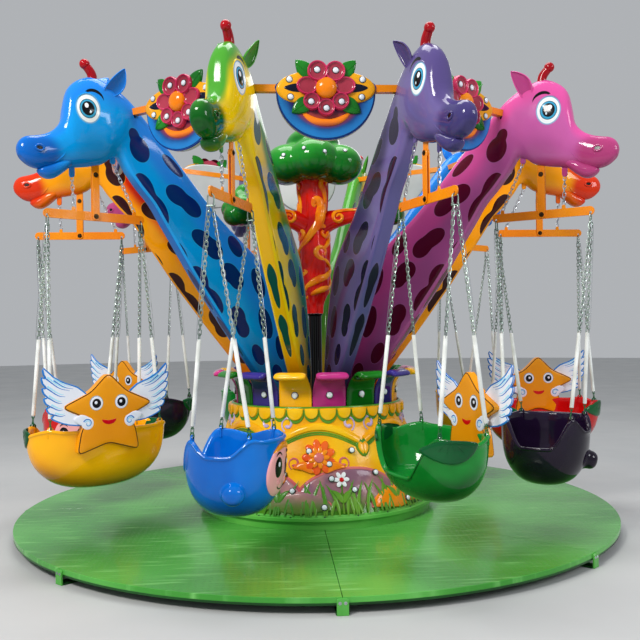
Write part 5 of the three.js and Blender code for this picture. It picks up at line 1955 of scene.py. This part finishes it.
def seat_mesh(kind, face):
    form = Form()
    tub = TUB[kind]
    tub_shell(form, tub)
    tub_lugs(form, tub, Seat.trim if kind == "double" else Seat.shell)
    if kind == "double":
        star_board(form, tub)
        tub_leaves(form, tub)
    else:
        tub_knob(form, tub)
    if face:
        tub_face(form, tub)
    return form.mesh("seat_" + kind, 38)


# Each colour: two tones of the paint, and a darker tone painted on downward-facing surfaces as painted
# shade.
SEAT_SHADES = {
    "yellow": ((0.95, 0.62, 0.01), (0.99, 0.71, 0.02), (0.52, 0.34, 0.01)),
    "blue": ((0.01, 0.36, 0.72), (0.02, 0.46, 0.84), (0.01, 0.14, 0.38)),
    "green": ((0.02, 0.40, 0.12), (0.08, 0.56, 0.20), (0.01, 0.17, 0.05)),
    "aubergine": ((0.07, 0.04, 0.11), (0.13, 0.07, 0.18), (0.04, 0.01, 0.06)),
    "red": ((0.70, 0.02, 0.03), (0.82, 0.05, 0.05), (0.36, 0.01, 0.02)),
}


def seat_paint(name):
    low, high, under = SEAT_SHADES[name]
    paint = Paint("seat_" + name, coat=0.8)
    # Painted shade: the darker tone where the surface faces down.
    colour = paint.mix(paint.ramp(paint.lean(), -0.25, -0.95), paint.patches(low, high, 2.6), under)
    return paint.finish(colour, (0.04, 0.13), 4.0, 0.06)


def seats():
    paints = {name: seat_paint(name) for name in SEAT_SHADES}
    wing_white = gloss_paint("wing_white", (0.84, 0.85, 0.92), (0.93, 0.94, 0.98), (0.2, 0.35))
    wing_blue = gloss_paint("wing_blue", (0.05, 0.36, 0.70), (0.14, 0.50, 0.82), (0.2, 0.3))
    wing_sky = gloss_paint("wing_sky", (0.50, 0.80, 0.94), (0.68, 0.90, 0.98), (0.2, 0.3))
    star_orange = gloss_paint("star_orange", (0.88, 0.53, 0.03), (0.94, 0.61, 0.05), (0.15, 0.3))
    outline_brown = gloss_paint("outline_brown", (0.16, 0.08, 0.03), (0.24, 0.12, 0.05), (0.2, 0.3))
    eye_grey = gloss_paint("eye_grey", (0.34, 0.46, 0.52), (0.50, 0.62, 0.68), (0.2, 0.3))
    leaf_dark = gloss_paint("leaf_dark", (0.01, 0.24, 0.12), (0.03, 0.37, 0.18), (0.06, 0.14))
    face_pink = gloss_paint("face_pink", (0.90, 0.55, 0.58), (0.96, 0.70, 0.70), (0.08, 0.18))
    shared = [ZINC, wing_white, wing_blue, wing_sky, star_orange, outline_brown, INK, RED, eye_grey]
    meshes = {}
    for i, (kind, colour) in enumerate(CHAIRS):
        face = kind == "single" and colour in ("red", "blue", "yellow")
        if (kind, face) not in meshes:
            meshes[kind, face] = seat_mesh(kind, face)
        put(numbered("seat_shell", i), meshes[kind, face],
            [paints[colour]] + shared + [face_pink if face else leaf_dark], numbered("chair", i),
            [numbered("seat", i)], station_matrix(i))


seats()
